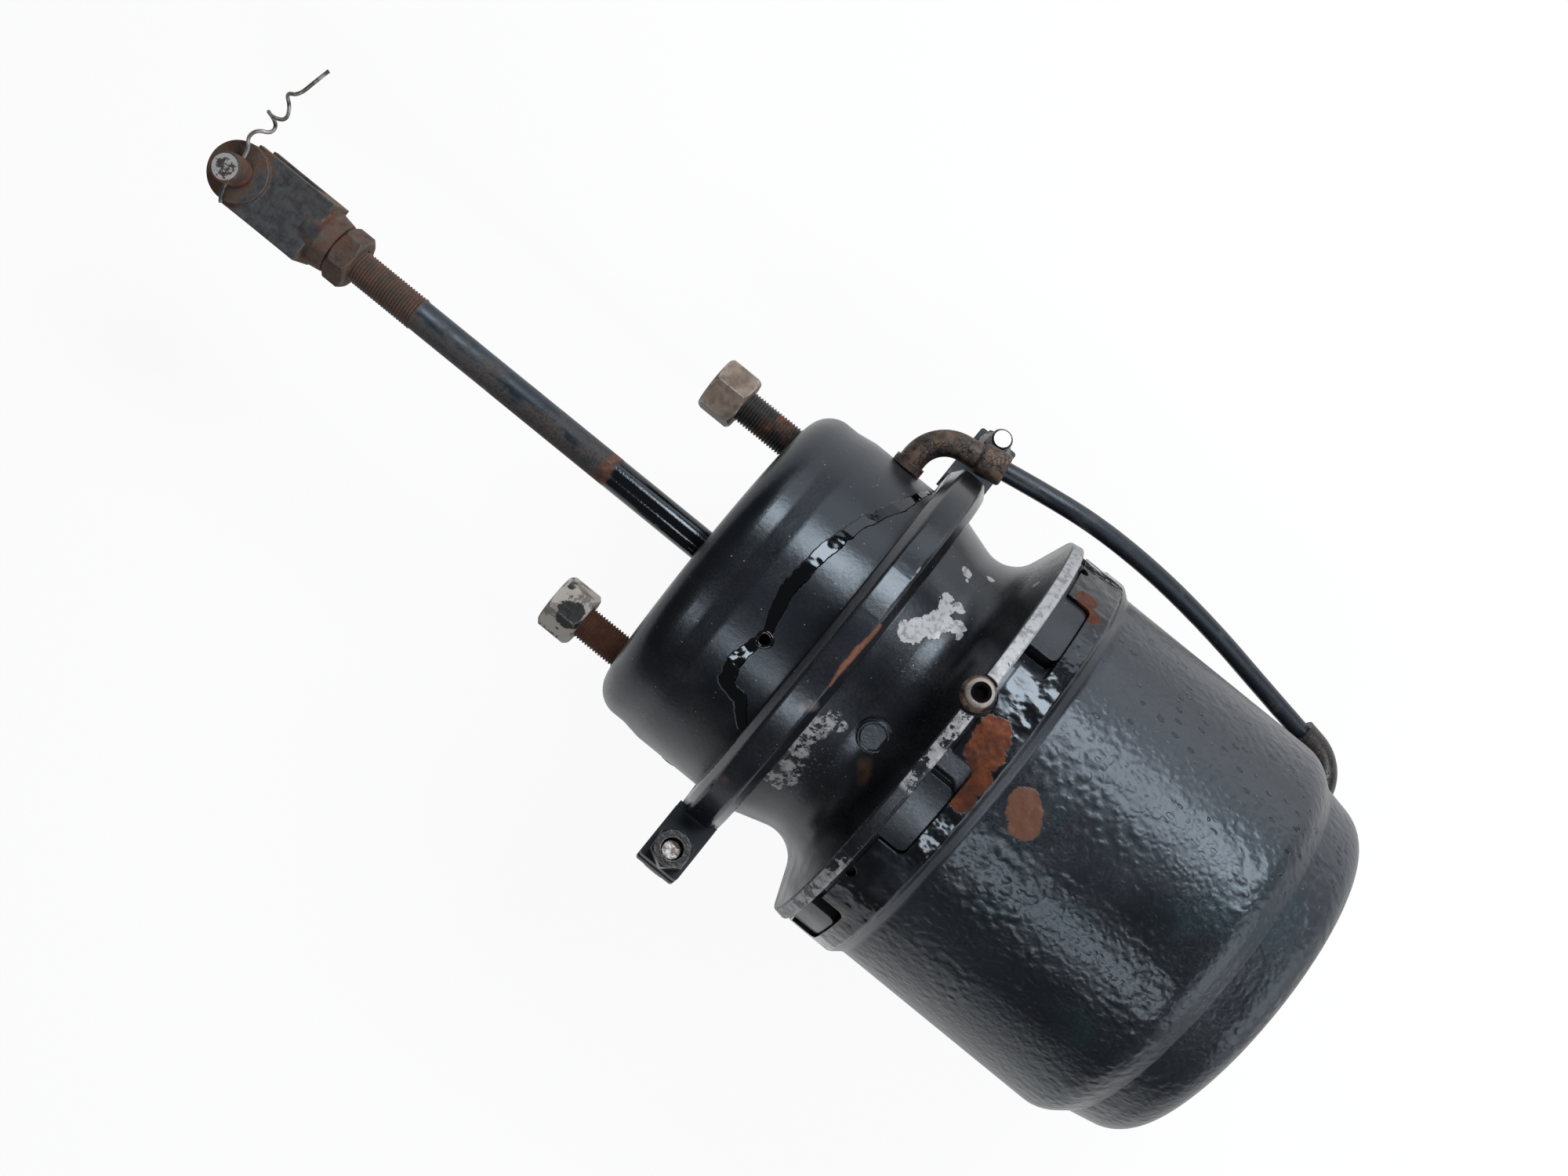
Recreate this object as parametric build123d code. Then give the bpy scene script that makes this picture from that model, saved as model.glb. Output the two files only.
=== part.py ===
"""Combined service and spring brake chamber.

The chamber's axis is X. X = 0 is the mounting face, where the two studs stand out.
+X runs to the spring can.
Y is the line of the studs and +Z is up. The rest state is parked: the power spring holds the push rod out.
Angles round the axis are counted from +Y towards +Z.
"""

import os
from math import atan2, cos, degrees, radians, sin, sqrt, tan

from build123d import *

# ---------------------------------------------------------------- fits and gaps
run_gap = 0.05        # radial running clearance of turned or sliding shafts
seat_gap = 0.3        # between pieces of different bodies that meet at rest
loose_gap = 0.4       # between stamped pieces that are only located

# ---------------------------------------------------------------- stroke
stroke = 64.0         # full travel of the push rod
parked = 57.0         # how far the power spring has pushed the rod out at rest

# ---------------------------------------------------------------- service housing
house_wall = 3.0
house_rear_r = 84.0
house_front_r = house_rear_r - 1.4
house_corner_r = 13.0
house_step_x = 19.0
house_step_width = 9.0
house_step_soft_r = 12.0
house_rim_x = 65.0    # front face of the turned-out rim
clamp_rim_r = house_rear_r + 10.0    # rim, diaphragm bead and flange rim inside the clamp
rod_hole_r = 17.0
drain_hole_r = 3.2
drain_x = 45.0
hose_angle = 4.0      # the front elbow and the drain holes, a quarter turn apart

# ---------------------------------------------------------------- studs
stud_spacing = 120.65
stud_r = 8.0
stud_pitch_r = 7.5    # where the flanks of nut and stud meet
stud_neck_r = 9.0     # serrated neck pressed into the housing
stud_head_r = 14.0
stud_head_height = 5.0
stud_reach = 40.0
nut_flats = 24.0
nut_height = 17.0
upper_nut_x = 28.0    # from the mounting face to the near side of the nut
lower_nut_x = 23.5

# ---------------------------------------------------------------- diaphragm, plate and rod
rubber = 3.2
plate_r = 62.0
plate_thickness = 4.0
plate_back_x = 97.0   # back of the push plate with the rod fully in
rod_r = 7.5
rod_thread_r = 8.0
rod_thread_end_x = -168.0
rod_tip_x = -222.0
spring_wire_r = 2.0
return_spring_turns = 4.5
return_spring_front_r = 34.0
return_spring_back_r = 52.0

# ---------------------------------------------------------------- clevis
pin_x = -266.0
pin_r = 7.0
fork_width = 28.0     # across the eyes
fork_flat_width = 24.0
fork_gap = 15.0
fork_cheek = 8.0
fork_throat_x = -236.0
fork_shank_r = 12.6
fork_shank_x = -214.0
jam_nut_x = -208.0    # middle of the nut
jam_nut_height = 11.0
pin_stand_out = 17.0
pin_head_height = 4.0
pin_head_r = 10.0
wire_r = 0.9
wire_height = 4.0      # above the fork's cheek

# ---------------------------------------------------------------- clamp
clamp_r = clamp_rim_r + 6.0
clamp_width = 19.0
clamp_x = 71.0        # middle of the clamp and of what it grips
clamp_sheet = 3.2
clamp_top_width = 11.0
clamp_lip_r = house_rear_r + 4.2
clamp_gap = 5.0       # between the two halves
clamp_angle = -21.0   # direction of the first pair of ears
ear_width = 20.0
ear_x = clamp_x - 0.8
ear_reach = clamp_r + 25.0
ear_root = 12.0         # how far the ear's block reaches back under the band
ear_thickness = 7.5
ear_end_r = 1.5
clamp_bolt_r = 5.0
clamp_bolt_edge = 8.5   # from the bolt's axis to the ear's end
clamp_bolt_circle_r = ear_reach - clamp_bolt_edge
nut_recess_r = 11.0
clamp_nut_flats = 16.0
clamp_nut_height = 8.5
first_bolt_end = 34.0   # how far the bolt ends stand out from the parting plane
second_bolt_end = 14.0
pad_length = 22.0
pad_width = 9.5
pad_height = 0.7
pad_angle = 66.0

# ---------------------------------------------------------------- intermediate flange
flange_front_r = clamp_rim_r - 11.2
neck_corner_x = 110.3         # where the two slopes of the neck would meet
neck_corner_r = 73.8
neck_round_r = 16.0
flange_rim_thickness = 5.8
web_front_x = 101.0
web_back_x = 111.0
service_bowl_r = house_rear_r - 4.0
neck_wall = 5.8               # of the casting under the neck
bowl_back_r = neck_corner_r - neck_wall
spring_bowl_r = 66.0
rim_front_x = 122.5
rim_back_x = 129.0
spigot_end_x = 152.0
boss_r = 7.5
boss_x = 104.5
boss_angle = 96.5
boss_height = 5.7             # of the boss above the neck's corner
boss_top_r = neck_corner_r + boss_height
port_r = 7.25         # tapping size of M16 x 1.5
port_depth = 12.0
port_boss_r = 13.0
port_top_r = 87.0
port_drill_r = 3.0
service_port_angle = -68.0
spring_port_angle = -112.0
port_x = 101.0

# ---------------------------------------------------------------- bayonet of the can
can_wall = 3.0
can_r = 100.0
skirt_r = can_r + 4.0
rim_r = skirt_r + 1.5
spigot_r = skirt_r - can_wall - loose_gap
spigot_bore_r = can_r - 12.0
pocket_depth = 5.6      # of the windows' pockets in the spigot
window_count = 7
window_angle = 26.0
window_depth = 12.0
window_corner_r = 3.5
lug_angle = 19.0
lug_top_r = skirt_r - 1.7
notch_r = 3.2
lock_screw_angle = 71.7
window_turn = 0.8       # of all windows from the even places beside the lock screw
lock_screw_x = 124.6
lock_screw_head_r = 7.6
lock_screw_seat_r = 9.0

# ---------------------------------------------------------------- spring can
skirt_x = 130.8
shoulder_x = 153.0
can_cone_x = 265.5
cap_step_x = 276.5
cap_r = can_r - 8.3
cap_end_r = cap_r - 5.7
can_end_x = 304.0
cap_corner_r = 18.0

# ---------------------------------------------------------------- piston and power spring
tube_r = 15.0
tube_bore_r = 11.0
piston_disc_thickness = 6.0
piston_disc_r = 62.0
piston_waist_r = can_r - 15.0
piston_wall = 5.0
piston_cone_length = 22.0     # from the front disc to the waist
piston_waist_length = 19.0
piston_hub_length = 8.0
piston_skirt_length = 31.0
piston_skirt_wall = 8.0
piston_seal_width = 4.8
piston_seal_from = 11.0       # from the skirt's front to the seal's middle
guide_ring_width = 5.8
guide_ring_from = 7.0         # from the skirt's back to the ring's middle
ring_groove = 3.5
power_wire_r = 6.0
power_spring_r = 50.0
power_spring_turns = 5.5
stop_ring_bore_r = 8.6

# ---------------------------------------------------------------- release bolt
release_r = 8.0
release_tip_x = 107.0
release_tip_r = 10.2
release_tip_length = 6.0
release_flats = 24.0
release_head = 12.0

# ---------------------------------------------------------------- elbows and hose
hose_r = 4.5
elbow_tube_r = 6.0
elbow_collar_r = 7.4
elbow_collar_length = 13.0
elbow_bend_r = 17.0
elbow_foot_r = 7.2
elbow_foot_height = 3.5
hose_route = (         # (x, radius, angle) from the front elbow to the rear one
    (80.0, clamp_r + 10.4, 4.0),
    (99.0, clamp_r + 13.7, 4.0),
    (127.0, rim_r + 11.7, 0.0),
    (162.0, rim_r + 12.6, -6.0),
    (200.0, rim_r + 11.4, -13.0),
    (235.0, rim_r + 8.8, -19.0),
    (262.0, can_r + 11.4, -21.5),
)
rear_elbow_x = 285.0
rear_elbow_tube_r = 6.8

# ---------------------------------------------------------------- places worked out from the sizes
plate_back = plate_back_x - parked
plate_front = plate_back - plate_thickness
travel_left = stroke - parked
tube_tip_x = plate_back + rubber + 2 * seat_gap
piston_front_x = web_back_x + travel_left + 2.0
can_bore_r = can_r - can_wall
skirt_bore_r = skirt_r - can_wall
bead_x = house_rim_x + house_wall
flange_rim_x = bead_x + rubber
can_inside_x = can_end_x - can_wall
lock_pitch = 360.0 / window_count
ring_x = skirt_x + window_depth + 3.0
seal_x = ring_x + 4.5
seal_floor_r = spigot_r - 2.4
release_washer_thickness = 3.0


def around(angle, radius, x=0.0):
    """Point at an angle round the chamber's axis."""
    return Vector(x, radius * cos(radians(angle)), radius * sin(radians(angle)))


def at_angle(angle, radius, x):
    """Place whose Z points straight out from the axis and whose X runs along the chamber."""
    outward = around(angle, 1.0)
    return Location(Plane(origin=around(angle, radius, x), x_dir=(1, 0, 0), z_dir=outward))


def turned(*corners):
    """Solid of revolution about X from (x, radius) corners; a third number rounds that corner."""
    outline = make_face(Polyline(*[(c[0], c[1]) for c in corners], close=True))
    for corner in corners:
        if len(corner) == 3:
            spot = Vector(corner[0], corner[1])
            vertex = outline.vertices().sort_by(lambda v: (v.center() - spot).length)[0]
            outline = fillet(vertex, corner[2])
    return revolve(outline, Axis.X, 360)


def ring(x0, x1, inner, outer):
    """Plain ring along X."""
    return turned((x0, inner), (x1, inner), (x1, outer), (x0, outer))


def rod_between(x0, x1, radius):
    """Round bar along X."""
    return turned((x0, 0), (x1, 0), (x1, radius), (x0, radius))


def radial_bar(angle, x, radius, low, high):
    """Round bar that stands out from the axis, from one radius to another."""
    bar = Cylinder(radius, high - low, align=(Align.CENTER, Align.CENTER, Align.MIN))
    return at_angle(angle, low, x) * bar


def hexagon_bar(flats, height, bore=0.0, chamfered=True):
    """Hexagon along Z from 0, with its corners turned off at both ends as on a nut."""
    corner_r = flats / sqrt(3)
    bar = extrude(RegularPolygon(corner_r, 6), height)
    if chamfered:
        drop = (corner_r - flats / 2) * 0.9
        turned_off = Cylinder(corner_r, height, align=(Align.CENTER, Align.CENTER, Align.MIN))
        bar &= chamfer(turned_off.edges().filter_by(GeomType.CIRCLE), drop, drop * 1.2)
    if bore:
        bar -= Cylinder(bore, height, align=(Align.CENTER, Align.CENTER, Align.MIN))
    return bar


def pointing(origin, direction):
    """Place whose Z points along a direction."""
    return Location(Plane(origin=origin, z_dir=direction))


def smooth_path(points):
    """Straight runs joined by tangent arcs, each as large as its two runs allow."""
    points = [Vector(p) for p in points]
    radii = []
    for before, here, after in zip(points, points[1:], points[2:]):
        run_in, run_out = here - before, after - here
        turn = radians(run_in.get_angle(run_out))
        radii.append(0.45 * min(run_in.length, run_out.length) / tan(turn / 2))
    return FilletPolyline(*points, radius=radii), radii


def tube_along(path, radius):
    """Round solid swept along a path."""
    return sweep(Plane(origin=path @ 0, z_dir=path % 0) * Circle(radius), path=path)


def save(node, shape):
    """Write one node; a list of solids becomes one group."""
    solids = shape.solids() if not isinstance(shape, list) else [s for one in shape for s in one.solids()]
    whole = solids[0] if len(solids) == 1 else Compound(children=list(solids))
    whole.label = node
    export_step(whole, f"parts/{node}.step")


# ================================================================ service side
def service_housing():
    """Pressed cup with a soft step round it and a turned-out rim, pierced for rod, studs, drains and elbow."""
    step_end = house_step_x + house_step_width
    rim_bend = 4.0
    outer = [
        (0, rod_hole_r),
        (0, house_front_r, house_corner_r),
        (house_step_x, house_front_r, house_step_soft_r),
        (step_end, house_rear_r, house_step_soft_r),
        (house_rim_x, house_rear_r, rim_bend),
        (house_rim_x, clamp_rim_r),
    ]
    inner = [
        (house_rim_x + house_wall, clamp_rim_r),
        (house_rim_x + house_wall, house_rear_r - house_wall, rim_bend + house_wall),
        (step_end, house_rear_r - house_wall, house_step_soft_r),
        (house_step_x, house_front_r - house_wall, house_step_soft_r),
        (house_wall, house_front_r - house_wall, house_corner_r - house_wall),
        (house_wall, rod_hole_r),
    ]
    cup = turned(*outer, *inner)
    for side in (1, -1):
        neck = rod_between(-1, house_wall + 1, stud_neck_r)
        cup -= Pos(0, side * stud_spacing / 2, 0) * neck
    for quarter in range(4):
        cup -= radial_bar(hose_angle + 90 * quarter, drain_x, drain_hole_r, house_rear_r - 10, house_rear_r + 5)
    return cup


def mounting_studs():
    """Two headed studs pressed in from inside; the thread is stepped to its flank line in the nut."""
    studs = []
    flat_r = house_front_r - house_corner_r
    for side, nut_x in ((1, upper_nut_x), (-1, lower_nut_x)):
        stud = rod_between(house_wall, house_wall + stud_head_height, stud_head_r)
        stud &= Pos(0, -side * stud_spacing / 2, 0) * rod_between(0, 20, flat_r)
        stud += rod_between(0, house_wall, stud_neck_r)
        stud += rod_between(-nut_x, 0, stud_r)
        tip = rod_between(-stud_reach, -nut_x, stud_pitch_r)
        stud += chamfer(tip.edges().filter_by(GeomType.CIRCLE).sort_by(Axis.X)[0], 1.5)
        studs.append(Pos(0, side * stud_spacing / 2, 0) * stud)
    return studs


def stud_nuts():
    """Tall locking nuts, each where it stands on its stud."""
    nuts = []
    for side, nut_x, turn in ((1, upper_nut_x, 12), (-1, lower_nut_x, -8)):
        nut = hexagon_bar(nut_flats, nut_height, stud_pitch_r + run_gap)
        place = pointing((-nut_x, side * stud_spacing / 2, 0), (-1, 0, 0))
        nuts.append(place * Rot(0, 0, turn) * nut)
    return nuts


def rod_dust_seal():
    """Rubber lip ring that closes the rod hole but lets the rod swing."""
    lip = 1.5
    return turned(
        (-1.2, rod_r + 1.2), (house_wall + 2, rod_r + 1.2), (house_wall + 2, rod_hole_r + 4),
        (house_wall + loose_gap, rod_hole_r + 4), (house_wall + loose_gap, rod_hole_r - loose_gap),
        (-1.2, rod_hole_r - loose_gap, lip),
    )


def drain_plugs():
    """Push-in plugs in the two drain holes on the far side."""
    plugs = []
    for quarter in (2, 3):
        angle = hose_angle + 90 * quarter
        plug = radial_bar(angle, drain_x, drain_hole_r - run_gap, house_rear_r - house_wall - 2, house_rear_r)
        plug += radial_bar(angle, drain_x, drain_hole_r + 2, house_rear_r, house_rear_r + 1.8)
        plugs.append(plug)
    return plugs


def service_diaphragm():
    """Moulded rubber cup, clamped at its bead and folded forward over the push plate."""
    back = plate_back + seat_gap
    wall_r = house_rear_r - house_wall - 1.0
    return turned(
        (back, 0), (back, plate_r + 2, 4.0), (bead_x - 4, wall_r - rubber * 0.9, 3.0),
        (bead_x, wall_r), (bead_x, clamp_rim_r - 1), (bead_x + rubber, clamp_rim_r - 1),
        (bead_x + rubber, wall_r - 2), (bead_x, wall_r - rubber - 3.5, 3.0),
        (back + rubber, plate_r, 3.0), (back + rubber, 0),
    )


def push_plate():
    """Stamped plate with a turned edge and a raised centre that the rod is welded to."""
    edge = 5.0
    return turned(
        (plate_front, rod_r), (plate_front - 5, rod_r), (plate_front - 5, rod_r + 6), (plate_front, rod_r + 11),
        (plate_front, plate_r - edge), (plate_front - edge + 1, plate_r - 1), (plate_front - edge + 1, plate_r),
        (plate_back, plate_r, 2.5), (plate_back, rod_r),
    )


def push_rod():
    """Straight rod: plain shank from the plate, rolled thread for the clevis."""
    rod = rod_between(rod_thread_end_x, plate_back, rod_r)
    rod += rod_between(rod_tip_x, rod_thread_end_x, rod_thread_r)
    return chamfer(rod.edges().filter_by(GeomType.CIRCLE).sort_by(Axis.X)[0], 1.5)


def coil(x0, x1, turns, first_r, last_r, wire):
    """Helical spring along X between two planes, wire centre line from first_r to last_r."""
    length = x1 - x0 - 2 * wire
    pitch = length / turns
    cone = degrees(atan2(last_r - first_r, length))
    line = Helix(pitch, length, first_r, cone_angle=cone)
    profile = Plane(origin=line @ 0, z_dir=line % 0) * Circle(wire)
    spring = sweep(profile, path=line, is_frenet=True)
    return Location(Plane(origin=(x0 + wire, 0, 0), x_dir=(0, 1, 0), z_dir=(1, 0, 0))) * spring


def return_spring():
    """Conical spring that pulls the rod back in."""
    return coil(house_wall + 0.2, plate_front - 0.2, return_spring_turns, return_spring_front_r,
                return_spring_back_r, spring_wire_r)


# ================================================================ rod end
def clevis():
    """Forged fork with round eyes, flat cheeks and a round threaded shank."""
    half = fork_gap / 2 + fork_cheek
    eye = Cylinder(fork_width / 2, 2 * half)
    eye = Pos(pin_x, 0, 0) * eye
    cheek_length = fork_throat_x - pin_x + 12
    waist = loft([
        Plane(origin=(pin_x, 0, 0), z_dir=(1, 0, 0)) * Rectangle(fork_width - 2, 2 * half),
        Plane(origin=(pin_x + 14, 0, 0), z_dir=(1, 0, 0)) * Rectangle(fork_flat_width, 2 * half),
        Plane(origin=(pin_x + cheek_length, 0, 0), z_dir=(1, 0, 0)) * Rectangle(fork_flat_width, 2 * half),
    ], ruled=True)
    body = eye + waist
    shank = turned(
        (pin_x + cheek_length - 6, 0), (fork_shank_x, 0), (fork_shank_x, fork_shank_r, 1.0),
        (pin_x + cheek_length + 3, fork_shank_r + 1.2), (pin_x + cheek_length - 6, fork_shank_r),
    )
    body += shank
    slot_length = fork_throat_x - pin_x + fork_width
    slot = Box(slot_length, fork_width * 2, fork_gap, align=(Align.MAX, Align.CENTER, Align.CENTER))
    body -= Pos(fork_throat_x, 0, 0) * slot
    body -= Pos(pin_x, 0, 0) * Cylinder(pin_r + run_gap, 4 * half)
    body -= rod_between(rod_tip_x - 3, fork_shank_x + 1, rod_thread_r)
    return body


def jam_nut():
    """Thin hexagon nut locked against the fork's shank."""
    nut = hexagon_bar(nut_flats, jam_nut_height, rod_thread_r)
    start = jam_nut_x - jam_nut_height / 2
    return pointing((start, 0, 0), (1, 0, 0)) * Rot(0, 0, 20) * nut


def clevis_pin():
    """Headed pin through both eyes, cross-drilled near its free end for the wire."""
    half = fork_gap / 2 + fork_cheek
    low = -half - seat_gap
    pin = Pos(pin_x, 0, low) * Cylinder(pin_r, half + pin_stand_out - low,
                                        align=(Align.CENTER, Align.CENTER, Align.MIN))
    pin = chamfer(pin.edges().filter_by(GeomType.CIRCLE).sort_by(Axis.Z)[-1], 0.8)
    head = Cylinder(pin_head_r, pin_head_height, align=(Align.CENTER, Align.CENTER, Align.MAX))
    pin += Pos(pin_x, 0, low) * chamfer(head.edges().filter_by(GeomType.CIRCLE), 0.8)
    hole = Rot(90, 0, 0) * Cylinder(wire_r + 0.3, 4 * pin_r)
    return pin - Pos(pin_x, 0, half + wire_height) * hole


def locking_wire():
    """Soft wire through the pin's cross hole, its long end left in a stretched curl."""
    half = fork_gap / 2 + fork_cheek
    hole = Vector(pin_x, 0, half + wire_height)
    route = (
        (3.0, -15.0, -2.0), (0.0, -11.0, 0.0), (0.0, 11.0, 0.0), (-4.0, 15.0, 1.5), (-1.5, 20.5, 4.5),
        (3.5, 23.0, 1.0), (1.5, 27.5, -3.0), (-5.0, 30.0, 0.5), (1.0, 29.0, 5.5), (5.5, 31.5, 2.0),
        (1.5, 37.0, -2.5), (-2.5, 41.0, 1.0), (3.5, 43.5, 3.5), (4.5, 53.0, 0.0), (6.0, 60.0, -1.0),
    )
    path, _ = smooth_path([hole + Vector(p) for p in route])
    return tube_along(path, wire_r)


# ================================================================ clamp
def clamp_section():
    """Bent channel that grips the rims, turned all the way round."""
    half, top, sheet = clamp_width / 2, clamp_top_width / 2, clamp_sheet
    shoulder_r = clamp_r - 5.5
    return turned(
        (clamp_x - half, clamp_lip_r), (clamp_x - half, shoulder_r, 3.0), (clamp_x - top, clamp_r, 2.5),
        (clamp_x + top, clamp_r, 2.5), (clamp_x + half, shoulder_r, 3.0), (clamp_x + half, clamp_lip_r),
        (clamp_x + half - sheet, clamp_lip_r), (clamp_x + half - sheet, shoulder_r - 0.6, 1.0),
        (clamp_x + top - 2, clamp_r - sheet, 1.0), (clamp_x - top + 2, clamp_r - sheet, 1.0),
        (clamp_x - half + sheet, shoulder_r - 0.6, 1.0), (clamp_x - half + sheet, clamp_lip_r),
    )


def clamp_half(side, pad):
    """Half of the clamp, side +1 or -1 of the parting plane, with an ear at each end."""
    low, high = clamp_gap / 2, clamp_gap / 2 + ear_thickness
    kept = Pos(clamp_x, 0, side * (low + clamp_r)) * Box(3 * clamp_width, 3 * clamp_r, 2 * clamp_r)
    half = clamp_section() & kept
    for end in (1, -1):
        ear = Box(ear_width, ear_reach - clamp_r + ear_root, ear_thickness,
                  align=(Align.CENTER, Align.MIN, Align.MIN))
        ear = fillet(ear.edges().filter_by(Axis.Z).group_by(Axis.Y)[-1], ear_end_r)
        ear = fillet(ear.edges().filter_by(Axis.X).sort_by(Axis.Y)[-1], ear_end_r)
        ear = Pos(ear_x, clamp_r - ear_root, low) * ear
        ear -= Pos(ear_x, clamp_bolt_circle_r, low) * Cylinder(clamp_bolt_r + loose_gap, 8 * ear_thickness)
        if end < 0:
            ear = Rot(0, 0, 180) * Pos(-2 * ear_x, 0, 0) * ear
        if side < 0:
            ear = mirror(ear, Plane.XY)
        recess = Cylinder(nut_recess_r, 2 * ear_width)
        recess = Pos(ear_x, end * clamp_bolt_circle_r, side * (high + ear_width)) * recess
        rims = rod_between(clamp_x - 30, clamp_x + 30, clamp_r - clamp_sheet + 0.3)
        half = half + (ear - rims) - recess
    if pad:
        block = at_angle(pad_angle - clamp_angle, clamp_r, clamp_x) * Box(pad_width, pad_length, 12)
        half += block & ring(clamp_x - 10, clamp_x + 10, clamp_r - 1, clamp_r + pad_height)
    return Rot(clamp_angle, 0, 0) * half


def clamp_bolt_ends():
    """Each bolt's direction round the axis and where its free end stands."""
    return ((0, first_bolt_end), (180, second_bolt_end))


def clamp_bolts():
    """Hexagon bolts through both pairs of ears, heads on the far side."""
    bolts = []
    high = clamp_gap / 2 + ear_thickness
    for turn, free_end in clamp_bolt_ends():
        bolt = Cylinder(clamp_bolt_r, free_end + high, align=(Align.CENTER, Align.CENTER, Align.MIN))
        bolt = Pos(0, 0, -high) * chamfer(bolt.edges().filter_by(GeomType.CIRCLE).sort_by(Axis.Z)[-1], 1.0)
        bolt += Pos(0, 0, -high - 6.4) * hexagon_bar(clamp_nut_flats, 6.4)
        y = clamp_bolt_circle_r * (1 if turn == 0 else -1)
        bolts.append(Rot(clamp_angle, 0, 0) * Pos(ear_x, y, 0) * bolt)
    return bolts


def clamp_nuts():
    """Nuts on the near side of the ears."""
    nuts = []
    high = clamp_gap / 2 + ear_thickness
    for turn, _ in clamp_bolt_ends():
        nut = Rot(0, 0, 15 + turn / 9) * hexagon_bar(clamp_nut_flats, clamp_nut_height, clamp_bolt_r)
        y = clamp_bolt_circle_r * (1 if turn == 0 else -1)
        nuts.append(Rot(clamp_angle, 0, 0) * Pos(ear_x, y, high) * nut)
    return nuts


# ================================================================ intermediate flange
def window_centres():
    """Angles of the bayonet windows; the lock screw stands midway between two of them."""
    return [lock_screw_angle + window_turn + lock_pitch * (n + 0.5) for n in range(window_count)]


def notch_centres():
    """Angles midway between the windows, where the can's edge is notched."""
    return [lock_screw_angle + lock_pitch * n for n in range(window_count)]


def chord(angle, radius):
    """Straight width across an arc."""
    return 2 * radius * sin(radians(angle / 2))


def window_block(angle, width, depth, low, high, corner):
    """Block across the can's edge whose far corners are rounded."""
    block = Box(2 * depth, width, high - low, align=(Align.CENTER, Align.CENTER, Align.MIN))
    block = fillet(block.edges().filter_by(Axis.Z).group_by(Axis.X)[-1], corner)
    return at_angle(angle, low, skirt_x) * block


def window(angle, floor):
    """Block of one whole window down to a floor radius."""
    return window_block(angle, chord(window_angle, skirt_r), window_depth, floor, rim_r + 5, window_corner_r)


def port_boss(angle):
    """Round boss for an air connection."""
    return radial_bar(angle, port_x, port_boss_r, bowl_back_r + 4, port_top_r)


def intermediate_flange():
    """Cast flange: clamp rim, waisted neck, web with the tube bore, broad rim and the spigot with its lugs."""
    rim_back = flange_rim_x + flange_rim_thickness
    bore = tube_r + 4.0
    body = turned(
        (web_front_x, bore), (web_front_x, bowl_back_r, 4.0), (flange_rim_x + 5, service_bowl_r, 3.0),
        (flange_rim_x, service_bowl_r), (flange_rim_x, clamp_rim_r), (rim_back, clamp_rim_r - 2, 1.0),
        (rim_back, flange_front_r + 0.6, 1.5), (rim_back + 4, flange_front_r),
        (neck_corner_x, neck_corner_r, neck_round_r),
        (rim_front_x, rim_r - 1, 1.5), (rim_back_x, rim_r, 1.5), (rim_back_x, spigot_r),
        (spigot_end_x, spigot_r), (spigot_end_x, spigot_bore_r), (rim_back_x - 4, spigot_bore_r, 4.0),
        (web_back_x, spring_bowl_r, 4.0), (web_back_x, bore),
    )
    for angle in (service_port_angle, spring_port_angle):
        body += port_boss(angle)
    boss = radial_bar(boss_angle, boss_x, boss_r, bowl_back_r + 4, boss_top_r)
    body += boss
    for angle in (service_port_angle, spring_port_angle):
        body -= radial_bar(angle, port_x, port_r, port_top_r - port_depth, port_top_r + 1)
    port_floor_r = port_top_r - port_depth
    body -= radial_bar(service_port_angle, port_x - 4, port_drill_r, bowl_back_r - 2, port_floor_r + 1)
    start = around(spring_port_angle, port_floor_r, port_x + 3)
    drilling = Cylinder(port_drill_r, 30, align=(Align.CENTER, Align.CENTER, Align.MIN))
    body -= pointing(start, (1, 0, 0)) * drilling
    body = body - rod_between(flange_rim_x, web_front_x, bowl_back_r - 4)
    pocket_r = spigot_r - pocket_depth
    for angle in window_centres():
        body -= window(angle, pocket_r) & rod_between(rim_back_x, spigot_end_x, rim_r + 15)
        away = 1 if (angle - lock_screw_angle) % 360 < 180 else -1
        shift = away * ((window_angle - lug_angle) / 2 - 0.4)
        lug = window_block(angle + shift, chord(lug_angle, skirt_r), window_depth - loose_gap, pocket_r - 1,
                           rim_r + 5, window_corner_r)
        body += lug & ring(rim_back_x, skirt_x + window_depth, pocket_r - 1, lug_top_r)
    body -= radial_bar(lock_screw_angle, lock_screw_x, lock_screw_seat_r, rim_r - 2.5, rim_r + 5)
    body -= radial_bar(lock_screw_angle, lock_screw_x, 4.0, rim_r - 12, rim_r)
    body -= ring(ring_x - 1.8, ring_x + 1.8, spigot_r - 2.6, spigot_r + 1)
    body -= ring(seal_x - 1.6, seal_x + 1.6, seal_floor_r, spigot_r + 1)
    return body


def retaining_ring():
    """Round wire that locks can and flange together, gapped at the back."""
    wire = revolve(Pos(ring_x, spigot_r + 0.4) * Circle(1.7), Axis.X, 360)
    return wire - at_angle(lock_screw_angle + 180, spigot_r, ring_x) * Box(8, 10, 12)


def can_seal():
    """Round rubber ring between spigot and can."""
    section = (skirt_bore_r - seal_floor_r) / 2 - 0.05
    return revolve(Pos(seal_x, (skirt_bore_r + seal_floor_r) / 2) * Circle(section), Axis.X, 360)


def tube_bush():
    """Flanged plain bearing in the web that guides the piston tube."""
    bore = tube_r + run_gap
    return turned(
        (web_front_x + 0.2, bore), (web_front_x + 0.2, tube_r + 4.0), (web_back_x, tube_r + 4.0),
        (web_back_x, tube_r + 7.0), (web_back_x + 1.5, tube_r + 7.0), (web_back_x + 1.5, bore),
        (web_back_x - 2, bore), (web_back_x - 2, tube_r + 2.2), (web_back_x - 5.2, tube_r + 2.2),
        (web_back_x - 5.2, bore),
    )


def tube_seal():
    """Lip seal in the bush's groove."""
    return ring(web_back_x - 5.1, web_back_x - 2.1, tube_r + run_gap, tube_r + 2.1)


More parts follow.
